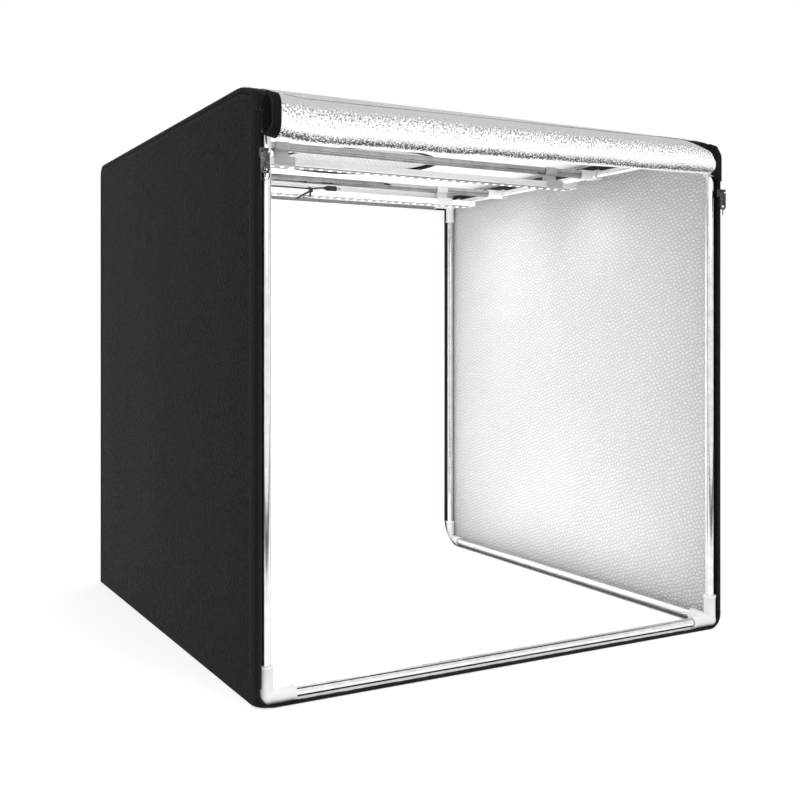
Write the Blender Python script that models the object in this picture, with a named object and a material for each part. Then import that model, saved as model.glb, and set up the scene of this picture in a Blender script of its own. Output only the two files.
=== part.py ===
# Light tent cube: a folding photo tent with a plug-together tube frame inside a sewn cover.
# Lengths are metres, +Z is up, the open front faces -Y and the origin is under the middle of the
# whole object. Every piece is its own closed solid, with a small clearance to its neighbours.

from math import asin, cos, pi, sin, sqrt

import bmesh
import bpy
import numpy as np
from mathutils import Matrix, Vector

# Driving dimensions of the whole tent
CUBE_WIDTH = 0.800
CUBE_HEIGHT = 0.800
WALL_DEPTH = 0.800
CLEARANCE = 0.0003
CUT_OVERRUN = 0.002

# Cover: leatherette laminated with pebbled lining, sewn into five panels
PANEL_THICKNESS = 0.003
REAR_EDGE_RADIUS = 0.020
FRONT_DROOP_RUN = 0.060
FRONT_DROOP = 0.0135
FRONT_FALL = 0.23
EDGE_ARC_STEPS = 6

# Zip tapes round the front opening, bound over the side walls' front edges
TAPE_DEPTH = 0.024
TAPE_THICKNESS = 0.003
HEM_WIDTH = 0.008
HEM_THICKNESS = 0.0012
TEETH_DEPTH = 0.006
TEETH_THICKNESS = 0.0045
BOTTOM_CORNER_RADIUS = 0.026
BOTTOM_CORNER_REAR_RADIUS = 0.0035
HEADER_CORNER_RADIUS = 0.024
HEADER_CORNER_REAR_RADIUS = 0.006
HEADER_THICKNESS = 0.002
BAND_ROWS = 4
CORNER_ARC_STEPS = 6

# Door, rolled up with its silver side out and held in front of the header
ROLL_DEPTH = 0.042
ROLL_HEIGHT = 0.060
ROLL_TOP_BELOW_ROOF = 0.0225
ROLL_SHEET_THICKNESS = 0.0021
ROLL_PITCH = 0.0027
ROLL_HALF_TURNS = 13
ROLL_HALF_TURN_STEPS = 7
ROLL_LEFT_INSET = 0.002
ROLL_RIGHT_INSET = 0.050

# Tube frame in white three-way corner connectors
TUBE_RADIUS = 0.007
TUBE_WALL = 0.001
TUBE_SIDES = 16
CONNECTOR_BALL_RADIUS = 0.010
CONNECTOR_ARM_RADIUS = 0.0092
CONNECTOR_ARM_LENGTH = 0.040
CONNECTOR_LIP_WIDTH = 0.004
SOCKET_DEPTH = 0.026
FRAME_FRONT_INSET = 0.0015
FRAME_TOP_GAP = 0.0162

# Cross tubes under the roof, and the clamps that hold them on the top side rails
FRONT_BAR_BACK = 0.303
REAR_BAR_AHEAD = 0.215
CLAMP_RADIUS = 0.0095
CLAMP_LENGTH = 0.030
CLAMP_MOUTH = 0.010
CLAMP_ARM_RADIUS = 0.0090
CLAMP_ARM_LENGTH = 0.034
CLAMP_SOCKET_DEPTH = 0.020

# Light bars: a hollow aluminium channel with a strip of chips under it
CHANNEL_SHORT_OF_WIDTH = 0.180
CHANNEL_WIDTH = 0.030
CHANNEL_HEIGHT = 0.010
CHANNEL_WALL = 0.0015
CHANNEL_DROP = 0.020
END_CAP_THICKNESS = 0.003
STRIP_WIDTH = 0.018
STRIP_THICKNESS = 0.0010
CHIP_HEIGHT = 0.0009
CHIP_LENGTH = 0.0055
CHIP_COUNT = 36
STRIP_END_MARGIN = 0.008

# Clips that hook round a cross tube and grip the channel below it
HOOK_RADIUS = 0.0098
HOOK_MOUTH = 0.010
HOOK_WIDTH = 0.024
HOOK_ARC_STEPS = 18
NECK_THICKNESS = 0.012
SADDLE_WIDTH = 0.034
SADDLE_THICKNESS = 0.0023
SADDLE_LIP = 0.0015
SADDLE_LIP_THICKNESS = 0.0018
FRONT_CLIP_LEFT_INSET = 0.158
FRONT_CLIP_RIGHT_INSET = 0.118
REAR_CLIP_INSET = 0.162

# Round window in the roof, and the flap that covers it from outside
WINDOW_BACK = 0.515
WINDOW_RADIUS = 0.141
FLAP_OVERLAP = 0.018
FLAP_THICKNESS = 0.0025
WINDOW_SIDES = 36
FLAP_CHORD_INSET = 0.008

# White backdrop sheet on its hook-and-loop strip
BACKDROP_SIDE_GAP = 0.028
BACKDROP_THICKNESS = 0.001
BACKDROP_STANDOFF = 0.006
BACKDROP_BEND_RADIUS = 0.060
BACKDROP_BEND_STEPS = 8
BACKDROP_TOP_UNDER_RAIL = 0.003
BACKDROP_LIFT = 0.001
BACKDROP_FRONT_INSET = 0.024
HOOK_STRIP_HEIGHT = 0.020

# Zip sliders with their pull tabs and split rings
SLIDER_WIDTH = 0.0095
SLIDER_DEPTH = 0.006
SLIDER_HEIGHT = 0.012
SLIDER_UNDER_ROLL = 0.0085
EAR_REACH = 0.0045
EAR_HEIGHT = 0.005
EAR_THICKNESS = 0.0016
PIN_RADIUS = 0.0009
TAB_WIDTH = 0.012
TAB_THICKNESS = 0.0016
TAB_LENGTH = 0.031
TAB_EYE_RADIUS = 0.0020
TAB_EYE_LENGTH = 0.0042
TAB_HOLE_RADIUS = 0.003
TAB_HOLE_UP = 0.0052
RING_RADIUS = 0.0060
RING_WIRE_RADIUS = 0.0007
RING_SEAT = 0.0010
RING_TURN = pi / 4
RING_STEPS = 20
SMALL_SIDES = 10
HOLE_SIDES = 16
PLUG_SIDES = 12

# Short lead on the rear light bar, its plug and the tie that holds them
LEAD_DIAMETER = 0.003
LEAD_STEP = 0.0088
LEAD_CURVE_STEPS = 12
PLUG_RADIUS = 0.005
PLUG_NECK_RADIUS = 0.0035
PLUG_TAPER_LENGTH = 0.005
PLUG_LENGTH = 0.026
PLUG_TIP_RADIUS = 0.00275
PLUG_TIP_LENGTH = 0.009
TIE_ALONG = 0.250
TIE_WIDTH = 0.0036
TIE_THICKNESS = 0.0011
TIE_HEAD_SIZE = 0.006
TIE_HEAD_HEIGHT = 0.005
TIE_TAIL_LENGTH = 0.034
TIE_TAIL_ANGLE = 0.5
TIE_CORNER_RADIUS = 0.003
TIE_ARC_STEPS = 3

# The lead's route, from the rear bar's tube axis and the channel's left end: out of the end cap,
# round and back over the channel, over the clip's saddle, under the tie and into the plug
LEAD_ROUTE = [
    (-0.0036, -0.0080, -0.0250),
    (-0.0130, -0.0082, -0.0250),
    (-0.0220, -0.0088, -0.0238),
    (-0.0275, -0.0098, -0.0190),
    (-0.0280, -0.0108, -0.0130),
    (-0.0240, -0.0116, -0.0085),
    (-0.0160, -0.0120, -0.0075),
    (-0.0060, -0.0121, -0.0100),
    (0.0050, -0.0120, -0.0135),
    (0.0180, -0.0119, -0.0150),
    (0.0500, -0.0118, -0.0154),
    (0.0900, -0.0117, -0.0156),
    (0.1040, -0.0115, -0.0172),
    (0.1240, -0.0112, -0.0180),
    (0.1440, -0.0104, -0.0180),
    (0.1600, -0.0098, -0.0180),
    (0.2000, -0.0102, -0.0180),
    (0.2300, -0.0106, -0.0180),
    (0.2480, -0.0107, -0.0180),
    (0.2600, -0.0106, -0.0172),
    (0.2680, -0.0104, -0.0158),
    (0.2750, -0.0103, -0.0149),
    (0.2800, -0.0103, -0.0147),
]

# Colours, roughness and metallic value of each finish
LEATHERETTE = ("cover_leatherette", (0.028, 0.027, 0.027), 0.55, 0.0)
LINING = ("silver_lining", (0.62, 0.63, 0.64), 0.42, 0.35)
ZIP_TAPE = ("zip_tape", (0.016, 0.016, 0.017), 0.80, 0.0)
ZIP_METAL = ("zip_metal", (0.07, 0.07, 0.075), 0.38, 0.9)
CHROME_TUBE = ("chrome_tube", (0.78, 0.79, 0.80), 0.16, 1.0)
WHITE_PLASTIC = ("white_plastic", (0.80, 0.80, 0.79), 0.42, 0.0)
BACKDROP_SHEET = ("backdrop_sheet", (0.85, 0.85, 0.84), 0.75, 0.0)
CHANNEL_METAL = ("channel_aluminium", (0.60, 0.61, 0.62), 0.32, 1.0)
LIGHT_STRIP = ("light_strip", (0.86, 0.84, 0.66), 0.45, 0.0)
LEAD_PLASTIC = ("lead_plastic", (0.02, 0.02, 0.021), 0.50, 0.0)

# Places that follow from the sizes
WHOLE_DEPTH = WALL_DEPTH + TAPE_DEPTH + CLEARANCE + ROLL_DEPTH
REAR_Y = WHOLE_DEPTH / 2
WALL_FRONT_Y = REAR_Y - WALL_DEPTH
FRONT_Y = WALL_FRONT_Y - TAPE_DEPTH
HALF_WIDTH = CUBE_WIDTH / 2
WALL_OUTER_X = HALF_WIDTH - HEM_THICKNESS - CLEARANCE
WALL_INNER_X = WALL_OUTER_X - PANEL_THICKNESS
FRAME_X = WALL_INNER_X - CLEARANCE - CONNECTOR_BALL_RADIUS
FRAME_FRONT_Y = FRONT_Y + FRAME_FRONT_INSET + CONNECTOR_BALL_RADIUS
FRAME_REAR_Y = REAR_Y - PANEL_THICKNESS - CLEARANCE - CONNECTOR_BALL_RADIUS
FRAME_BOTTOM_Z = PANEL_THICKNESS + CLEARANCE + CONNECTOR_BALL_RADIUS
FRAME_TOP_Z = CUBE_HEIGHT - PANEL_THICKNESS - FRAME_TOP_GAP - CONNECTOR_BALL_RADIUS
BORE_RADIUS = TUBE_RADIUS + CLEARANCE
FRONT_BAR_Y = FRONT_Y + FRONT_BAR_BACK
REAR_BAR_Y = REAR_Y - REAR_BAR_AHEAD
ROLL_TOP_Z = CUBE_HEIGHT - ROLL_TOP_BELOW_ROOF
ROLL_BOTTOM_Z = ROLL_TOP_Z - ROLL_HEIGHT
ROLL_LEFT_X = -HALF_WIDTH + ROLL_LEFT_INSET
ROLL_RIGHT_X = HALF_WIDTH - ROLL_RIGHT_INSET
WINDOW_Y = FRONT_Y + WINDOW_BACK
FLAP_RADIUS = WINDOW_RADIUS + FLAP_OVERLAP
FLAP_HINGE_BACK = FLAP_RADIUS - FLAP_CHORD_INSET
BACKDROP_HALF_WIDTH = HALF_WIDTH - BACKDROP_SIDE_GAP
CHANNEL_LENGTH = CUBE_WIDTH - CHANNEL_SHORT_OF_WIDTH
FRONT_CLIP_LEFT_X = FRONT_CLIP_LEFT_INSET - HALF_WIDTH
FRONT_CLIP_RIGHT_X = HALF_WIDTH - FRONT_CLIP_RIGHT_INSET
REAR_CLIP_X = HALF_WIDTH - REAR_CLIP_INSET
CHANNEL_TOP = -CHANNEL_DROP
CHANNEL_BOTTOM = CHANNEL_TOP - CHANNEL_HEIGHT
STRIP_TOP = CHANNEL_BOTTOM - CLEARANCE
CHIPS_BOTTOM = STRIP_TOP - STRIP_THICKNESS - CHIP_HEIGHT


def clear_scene():
    for existing in list(bpy.data.objects):
        bpy.data.objects.remove(existing, do_unlink=True)


def finish_material(finish):
    name, colour, roughness, metallic = finish
    material = bpy.data.materials.get(name)
    if material is None:
        material = bpy.data.materials.new(name)
        material.use_nodes = True
        shader = material.node_tree.nodes["Principled BSDF"]
        shader.inputs["Base Color"].default_value = (*colour, 1)
        shader.inputs["Roughness"].default_value = roughness
        shader.inputs["Metallic"].default_value = metallic
    return material


def add_mesh(name, solid):
    """Turn a bmesh solid into an object, with its faces pointing out."""
    bmesh.ops.recalc_face_normals(solid, faces=solid.faces)
    mesh = bpy.data.meshes.new(name)
    solid.to_mesh(mesh)
    solid.free()
    piece = bpy.data.objects.new(name, mesh)
    bpy.context.scene.collection.objects.link(piece)
    return piece


def finish_piece(piece, finish, place=(0, 0, 0), parent=None):
    """Give a piece its finish, shade its round faces smooth and put it in its place."""
    piece.data.materials.clear()
    piece.data.materials.append(finish_material(finish))
    piece.data.shade_smooth()
    piece.data.set_sharp_from_angle(angle=pi / 5)
    piece.location = place
    piece.parent = parent
    return piece


def joint_empty(name, place, parent=None):
    """An empty on a joint's axis, which carries the pieces that move there."""
    empty = bpy.data.objects.new(name, None)
    bpy.context.scene.collection.objects.link(empty)
    empty.location = place
    empty.parent = parent
    return empty


def solid_from_rings(rings, caps=True):
    """Skin a row of rings, each a list of points. Without caps the last ring joins the first."""
    solid = bmesh.new()
    rows = [[solid.verts.new(point) for point in ring] for ring in rings]
    pairs = list(zip(rows, rows[1:]))
    if not caps:
        pairs.append((rows[-1], rows[0]))
    for low, high in pairs:
        count = len(low)
        for i in range(count):
            j = (i + 1) % count
            solid.faces.new((low[i], low[j], high[j], high[i]))
    if caps:
        solid.faces.new(list(reversed(rows[0])))
        solid.faces.new(rows[-1])
    return solid


def along(axis, distance, across, up):
    """A point from its distance along an axis and its two other coordinates, in XYZ order."""
    if axis == "X":
        return (distance, across, up)
    if axis == "Y":
        return (across, distance, up)
    return (across, up, distance)


def extruded(outline, axis, low, high):
    """A closed outline of two coordinates, extruded along the third axis."""
    return solid_from_rings([[along(axis, end, a, b) for a, b in outline] for end in (low, high)])


def box(low, high):
    corners = [(low[1], low[2]), (high[1], low[2]), (high[1], high[2]), (low[1], high[2])]
    return extruded(corners, "X", low[0], high[0])


def ring_points(axis, distance, radius, sides):
    angles = [2 * pi * i / sides for i in range(sides)]
    return [along(axis, distance, radius * cos(a), radius * sin(a)) for a in angles]


def turned(stations, axis, sides, caps=True):
    """A turned solid: each station is a distance along the axis and a radius there."""
    rings = [ring_points(axis, distance, radius, sides) for distance, radius in stations]
    return solid_from_rings(rings, caps)


def tube(axis, low, high, outer, inner, sides):
    return turned([(low, outer), (high, outer), (high, inner), (low, inner)], axis, sides, caps=False)


def arc(centre, radius, start, end, steps):
    """Points along an arc of a circle, both ends included."""
    turn = (end - start) / steps
    return [(centre[0] + radius * cos(start + turn * i), centre[1] + radius * sin(start + turn * i))
            for i in range(steps + 1)]


def combine(piece, operand, operation):
    """Join or cut a piece with another solid, which is used up."""
    modifier = piece.modifiers.new(operation.title(), "BOOLEAN")
    modifier.operation = operation
    modifier.object = operand
    view = bpy.context.evaluated_depsgraph_get()
    result = bpy.data.meshes.new_from_object(piece.evaluated_get(view))
    piece.modifiers.remove(modifier)
    piece.data = result
    bpy.data.objects.remove(operand, do_unlink=True)
    return piece


def joined(name, solids):
    piece = add_mesh(name, solids[0])
    for solid in solids[1:]:
        combine(piece, add_mesh(name + "_joined", solid), "UNION")
    return piece


def cut(piece, solids):
    for solid in solids:
        combine(piece, add_mesh(piece.name + "_cutter", solid), "DIFFERENCE")
    return piece


def copy_piece(piece, name, finish, place, turn, parent=None):
    """Another piece of the same shape, turned and put in its place."""
    twin = bpy.data.objects.new(name, piece.data)
    bpy.context.scene.collection.objects.link(twin)
    finish_piece(twin, finish, place, parent)
    twin.rotation_euler = turn.to_euler()
    return twin


def droop_at(y):
    """How far the roof has come down at y: it curves over to the walls' front edge, and the
    header goes on from there at an even slope."""
    run = min(max(0, WALL_FRONT_Y + FRONT_DROOP_RUN - y), FRONT_DROOP_RUN)
    return FRONT_DROOP * (run / FRONT_DROOP_RUN) ** 2 + FRONT_FALL * max(0, WALL_FRONT_Y - y)


def roof_line(inset):
    """The roof's section from its front edge to the foot of its rounded rear edge."""
    points = []
    for i in range(EDGE_ARC_STEPS + 1):
        y = WALL_FRONT_Y + FRONT_DROOP_RUN * i / EDGE_ARC_STEPS
        points.append((y, CUBE_HEIGHT - inset - droop_at(y)))
    centre = (REAR_Y - REAR_EDGE_RADIUS, CUBE_HEIGHT - REAR_EDGE_RADIUS)
    points += arc(centre, REAR_EDGE_RADIUS - inset, pi / 2, 0, EDGE_ARC_STEPS)
    return points


def make_panels():
    wall_outline = roof_line(0) + [(REAR_Y, 0), (WALL_FRONT_Y, 0)]
    for name, side in (("wall_left", -1), ("wall_right", 1)):
        ends = sorted((side * WALL_INNER_X, side * WALL_OUTER_X))
        finish_piece(add_mesh(name, extruded(wall_outline, "X", *ends)), LEATHERETTE)

    half = WALL_INNER_X - CLEARANCE
    roof_outline = roof_line(0) + list(reversed(roof_line(PANEL_THICKNESS)))
    roof = add_mesh("roof", extruded(roof_outline, "X", -half, half))
    window = turned([(CUBE_HEIGHT - PANEL_THICKNESS - CUT_OVERRUN, WINDOW_RADIUS),
                     (CUBE_HEIGHT + CUT_OVERRUN, WINDOW_RADIUS)], "Z", WINDOW_SIDES)
    bmesh.ops.translate(window, verts=window.verts, vec=(0, WINDOW_Y, 0))
    finish_piece(cut(roof, [window]), LEATHERETTE)

    floor = box((-half, WALL_FRONT_Y, 0), (half, REAR_Y, PANEL_THICKNESS))
    finish_piece(add_mesh("floor", floor), LEATHERETTE)
    rear = box((-half, REAR_Y - PANEL_THICKNESS, PANEL_THICKNESS + CLEARANCE),
               (half, REAR_Y, CUBE_HEIGHT - REAR_EDGE_RADIUS - CLEARANCE))
    finish_piece(add_mesh("wall_rear", rear), LEATHERETTE)


def opening_arch(y, top, foot, radius, thickness):
    """One section of a band over the opening: up the left side, across and down the right."""
    def line(inset):
        reach = HALF_WIDTH - radius
        bend = radius - inset
        left = arc((-reach, top - radius), bend, pi, pi / 2, CORNER_ARC_STEPS)
        right = arc((reach, top - radius), bend, pi / 2, 0, CORNER_ARC_STEPS)
        side = HALF_WIDTH - inset
        return [(-side, foot)] + left + right + [(side, foot)]
    outline = line(0) + list(reversed(line(thickness)))
    return [(x, y, z) for x, z in outline]


HEADER_FOOT_Z = CUBE_HEIGHT - droop_at(FRONT_Y) - HEADER_CORNER_RADIUS - CLEARANCE
BOTTOM_TAPE_TOP_Z = BOTTOM_CORNER_RADIUS + CLEARANCE


def make_opening_bands():
    """The zip tapes on three sides of the opening and the header along the fourth."""
    rear_y = WALL_FRONT_Y - CLEARANCE
    header_rings = []
    bottom_rings = []
    for i in range(BAND_ROWS + 1):
        y = FRONT_Y + (rear_y - FRONT_Y) * i / BAND_ROWS
        front_share = (1 - i / BAND_ROWS) ** 2
        radius = HEADER_CORNER_REAR_RADIUS + front_share * (HEADER_CORNER_RADIUS - HEADER_CORNER_REAR_RADIUS)
        header_rings.append(opening_arch(y, CUBE_HEIGHT - droop_at(y), HEADER_FOOT_Z, radius,
                                         HEADER_THICKNESS))
        radius = BOTTOM_CORNER_REAR_RADIUS + front_share * (BOTTOM_CORNER_RADIUS - BOTTOM_CORNER_REAR_RADIUS)
        arch = opening_arch(y, 0, -BOTTOM_TAPE_TOP_Z, radius, TAPE_THICKNESS)
        bottom_rings.append([(x, y, -z) for x, y, z in arch])
    finish_piece(add_mesh("door_header", solid_from_rings(header_rings)), ZIP_TAPE)
    finish_piece(add_mesh("zip_tape_bottom", solid_from_rings(bottom_rings)), ZIP_TAPE)

    outer = HALF_WIDTH
    tape_outline = [
        (outer, FRONT_Y),
        (outer, WALL_FRONT_Y + HEM_WIDTH),
        (outer - HEM_THICKNESS, WALL_FRONT_Y + HEM_WIDTH),
        (outer - HEM_THICKNESS, rear_y),
        (outer - TAPE_THICKNESS, rear_y),
        (outer - TAPE_THICKNESS, FRONT_Y + TEETH_DEPTH),
        (outer - TEETH_THICKNESS, FRONT_Y + TEETH_DEPTH),
        (outer - TEETH_THICKNESS, FRONT_Y),
    ]
    for name, side in (("zip_tape_left", -1), ("zip_tape_right", 1)):
        outline = [(side * x, y) for x, y in tape_outline]
        tape = extruded(outline, "Z", BOTTOM_TAPE_TOP_Z + CLEARANCE, HEADER_FOOT_Z - CLEARANCE)
        finish_piece(add_mesh(name, tape), ZIP_TAPE)


def roll_section():
    """The rolled door's section: a sheet wound into an oval, drawn as its two faces."""
    half_straight = (ROLL_HEIGHT - ROLL_DEPTH) / 2
    outer_radius = (ROLL_DEPTH + ROLL_PITCH / 2) / 2
    centre_y = FRONT_Y - CLEARANCE - outer_radius
    centre_z = ROLL_BOTTOM_Z + ROLL_HEIGHT / 2
    pitch_per_step = ROLL_PITCH / 2 / ROLL_HALF_TURN_STEPS
    outer = []
    inner = []
    step = 0
    for half_turn in range(ROLL_HALF_TURNS):
        rise = half_straight if half_turn % 2 == 0 else -half_straight
        for i in range(ROLL_HALF_TURN_STEPS + 1):
            angle = pi * half_turn + pi * i / ROLL_HALF_TURN_STEPS
            radius = outer_radius - pitch_per_step * step
            for line, reach in ((outer, radius), (inner, radius - ROLL_SHEET_THICKNESS)):
                line.append((centre_y + reach * cos(angle), centre_z + rise + reach * sin(angle)))
            step += i < ROLL_HALF_TURN_STEPS
    return outer, inner


def least_roll_gap(outer, inner):
    """The least distance between one turn's inner face and the next turn's outer face."""
    turn_points = 2 * (ROLL_HALF_TURN_STEPS + 1)
    least = ROLL_DEPTH
    for start in range(len(inner) - turn_points - 1):
        a = np.array(inner[start])
        b = np.array(inner[start + 1])
        for point in outer[start + turn_points - 3:start + turn_points + 4]:
            span = b - a
            share = np.clip(np.dot(np.array(point) - a, span) / np.dot(span, span), 0, 1)
            least = min(least, float(np.linalg.norm(a + span * share - np.array(point))))
    return least


def make_door():
    outer, inner = roll_section()
    print("least gap between the door roll's turns: %.2f mm" % (1000 * least_roll_gap(outer, inner)))
    outline = outer + list(reversed(inner))
    finish_piece(add_mesh("door_roll", extruded(outline, "X", ROLL_LEFT_X, ROLL_RIGHT_X)), LINING)


def connector_shape():
    """A three-way corner: a ball with an arm along +X, +Y and +Z, each with a blind socket."""
    ball = bmesh.new()
    bmesh.ops.create_uvsphere(ball, u_segments=TUBE_SIDES, v_segments=TUBE_SIDES // 2,
                              radius=CONNECTOR_BALL_RADIUS)
    end = CONNECTOR_ARM_LENGTH
    stations = [(0, CONNECTOR_ARM_RADIUS), (end - CONNECTOR_LIP_WIDTH, CONNECTOR_ARM_RADIUS),
                (end - CONNECTOR_LIP_WIDTH, CONNECTOR_BALL_RADIUS), (end, CONNECTOR_BALL_RADIUS),
                (end, BORE_RADIUS), (end - SOCKET_DEPTH, BORE_RADIUS)]
    arms = [turned(stations, axis, TUBE_SIDES) for axis in "XYZ"]
    return joined("connector_shape", [ball] + arms)


def octant_turn(side_x, side_y, side_z):
    """The turn that points the three arms from a corner of the frame towards its middle."""
    inward = [-side_x, -side_y, -side_z]
    columns = [Vector((inward[0], 0, 0)), Vector((0, inward[1], 0)), Vector((0, 0, inward[2]))]
    if inward[0] * inward[1] * inward[2] < 0:
        columns[0], columns[1] = columns[1], columns[0]
    return Matrix(columns).transposed()


def make_frame():
    shape = connector_shape()
    for z_name, side_z, z in (("bottom", -1, FRAME_BOTTOM_Z), ("top", 1, FRAME_TOP_Z)):
        for y_name, side_y, y in (("front", -1, FRAME_FRONT_Y), ("rear", 1, FRAME_REAR_Y)):
            for x_name, side_x in (("left", -1), ("right", 1)):
                name = "corner_%s_%s_%s" % (z_name, y_name, x_name)
                copy_piece(shape, name, WHITE_PLASTIC, (side_x * FRAME_X, y, z),
                           octant_turn(side_x, side_y, side_z))
    bpy.data.objects.remove(shape, do_unlink=True)

    reach = CONNECTOR_ARM_LENGTH - SOCKET_DEPTH + CLEARANCE
    inner = TUBE_RADIUS - TUBE_WALL

    def rail(name, axis, low, high, place):
        pipe = tube(axis, low + reach, high - reach, TUBE_RADIUS, inner, TUBE_SIDES)
        finish_piece(add_mesh(name, pipe), CHROME_TUBE, place)

    for z_name, z in (("bottom", FRAME_BOTTOM_Z), ("top", FRAME_TOP_Z)):
        for y_name, y in (("front", FRAME_FRONT_Y), ("rear", FRAME_REAR_Y)):
            rail("rail_%s_%s" % (z_name, y_name), "X", -FRAME_X, FRAME_X, (0, y, z))
        for x_name, x in (("left", -FRAME_X), ("right", FRAME_X)):
            rail("rail_%s_%s" % (z_name, x_name), "Y", FRAME_FRONT_Y, FRAME_REAR_Y, (x, 0, z))
    for y_name, y in (("front", FRAME_FRONT_Y), ("rear", FRAME_REAR_Y)):
        for x_name, x in (("left", -FRAME_X), ("right", FRAME_X)):
            rail("upright_%s_%s" % (y_name, x_name), "Z", FRAME_BOTTOM_Z, FRAME_TOP_Z, (x, y, 0))


def clamp_shape():
    """A T clamp: it snaps over a rail that runs along Y and takes a cross tube from +X."""
    half = CLAMP_LENGTH / 2
    sleeve = turned([(-half, CLAMP_RADIUS), (half, CLAMP_RADIUS)], "Y", TUBE_SIDES)
    end = CLAMP_ARM_LENGTH
    arm = turned([(0, CLAMP_ARM_RADIUS), (end, CLAMP_ARM_RADIUS), (end, BORE_RADIUS),
                  (end - CLAMP_SOCKET_DEPTH, BORE_RADIUS)], "X", TUBE_SIDES)
    over = half + CUT_OVERRUN
    rail_bore = turned([(-over, BORE_RADIUS), (over, BORE_RADIUS)], "Y", TUBE_SIDES)
    mouth = box((-CLAMP_MOUTH / 2, -over, -CLAMP_RADIUS - CUT_OVERRUN), (CLAMP_MOUTH / 2, over, 0))
    return cut(joined("clamp_shape", [sleeve, arm]), [rail_bore, mouth])


def hook_outline():
    """The C round a cross tube, open at the top, as across and up coordinates."""
    mouth_angle = asin(HOOK_MOUTH / 2 / BORE_RADIUS)
    start = pi / 2 + mouth_angle
    end = 2 * pi + pi / 2 - mouth_angle
    outside = arc((0, 0), HOOK_RADIUS, start, end, HOOK_ARC_STEPS)
    inside = arc((0, 0), BORE_RADIUS, end, start, HOOK_ARC_STEPS)
    return outside + inside


def clip_shape():
    """A light clip: the hook, its neck, and the saddle that grips the channel's long edges."""
    grip = CHANNEL_WIDTH / 2 + CLEARANCE
    outer = grip + SADDLE_THICKNESS
    lip = grip - SADDLE_LIP
    under = CHANNEL_TOP + CLEARANCE
    top = under + SADDLE_THICKNESS
    lip_top = CHANNEL_BOTTOM - CLEARANCE
    foot = lip_top - SADDLE_LIP_THICKNESS
    right = [(outer, top), (outer, foot), (lip, foot), (lip, lip_top), (grip, lip_top), (grip, under)]
    left = [(-y, z) for y, z in reversed(right)]
    saddle = extruded(right + left, "X", -SADDLE_WIDTH / 2, SADDLE_WIDTH / 2)
    hook = extruded(hook_outline(), "X", -HOOK_WIDTH / 2, HOOK_WIDTH / 2)
    sink = (HOOK_RADIUS - BORE_RADIUS) / 2
    neck = box((-HOOK_WIDTH / 2 + sink, -NECK_THICKNESS / 2, top - sink),
               (HOOK_WIDTH / 2 - sink, NECK_THICKNESS / 2, -HOOK_RADIUS + sink))
    return joined("clip_shape", [hook, neck, saddle])


def strip_outline():
    """The light strip seen from the side: a flat tape with its chips standing down from it."""
    half = CHANNEL_LENGTH / 2 - STRIP_END_MARGIN
    tape_bottom = STRIP_TOP - STRIP_THICKNESS
    pitch = 2 * half / CHIP_COUNT
    points = [(half, STRIP_TOP), (-half, STRIP_TOP), (-half, tape_bottom)]
    for i in range(CHIP_COUNT):
        middle = -half + pitch * (i + 0.5)
        points += [(middle - CHIP_LENGTH / 2, tape_bottom), (middle - CHIP_LENGTH / 2, CHIPS_BOTTOM),
                   (middle + CHIP_LENGTH / 2, CHIPS_BOTTOM), (middle + CHIP_LENGTH / 2, tape_bottom)]
    return points + [(half, tape_bottom)]


def rectangle(half_width, low, high):
    return [(-half_width, low), (half_width, low), (half_width, high), (-half_width, high)]


def make_light_bar(place_name, y, centre_x, clip_places, clamp, clip):
    """A cross tube on its two clamps, and the light bar that turns about it on two clips."""
    axis = joint_empty("%s_bar_axis" % place_name, (0, y, FRAME_TOP_Z))
    clamp_reach = CLAMP_ARM_LENGTH - CLAMP_SOCKET_DEPTH + CLEARANCE
    tube_end = FRAME_X - clamp_reach
    cross = tube("X", -tube_end, tube_end, TUBE_RADIUS, TUBE_RADIUS - TUBE_WALL, TUBE_SIDES)
    finish_piece(add_mesh("cross_tube_" + place_name, cross), CHROME_TUBE, parent=axis)
    for side_name, side in (("left", -1), ("right", 1)):
        turn = Matrix.Rotation(0 if side < 0 else pi, 3, "Z")
        copy_piece(clamp, "rail_clamp_%s_%s" % (place_name, side_name), WHITE_PLASTIC,
                   (side * FRAME_X, 0, 0), turn, axis)

    for side_name, x in zip(("left", "right"), clip_places):
        copy_piece(clip, "light_clip_%s_%s" % (place_name, side_name), WHITE_PLASTIC, (x, 0, 0),
                   Matrix.Identity(3), axis)
    half = CHANNEL_LENGTH / 2
    hollow = rectangle(CHANNEL_WIDTH / 2 - CHANNEL_WALL, CHANNEL_BOTTOM + CHANNEL_WALL,
                       CHANNEL_TOP - CHANNEL_WALL)
    skin = rectangle(CHANNEL_WIDTH / 2, CHANNEL_BOTTOM, CHANNEL_TOP)
    rings = [[(x, a, b) for a, b in outline]
             for x, outline in ((-half, skin), (half, skin), (half, hollow), (-half, hollow))]
    channel = solid_from_rings(rings, caps=False)
    finish_piece(add_mesh("light_channel_" + place_name, channel), CHANNEL_METAL,
                 (centre_x, 0, 0), axis)
    strip = extruded(strip_outline(), "Y", -STRIP_WIDTH / 2, STRIP_WIDTH / 2)
    finish_piece(add_mesh("light_strip_" + place_name, strip), LIGHT_STRIP, (centre_x, 0, 0), axis)
    for side_name, side in (("left", -1), ("right", 1)):
        ends = sorted((side * (half + CLEARANCE), side * (half + CLEARANCE + END_CAP_THICKNESS)))
        cap = add_mesh("light_cap_%s_%s" % (place_name, side_name), extruded(skin, "X", *ends))
        finish_piece(cap, WHITE_PLASTIC, (centre_x, 0, 0), axis)
    return axis


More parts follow.
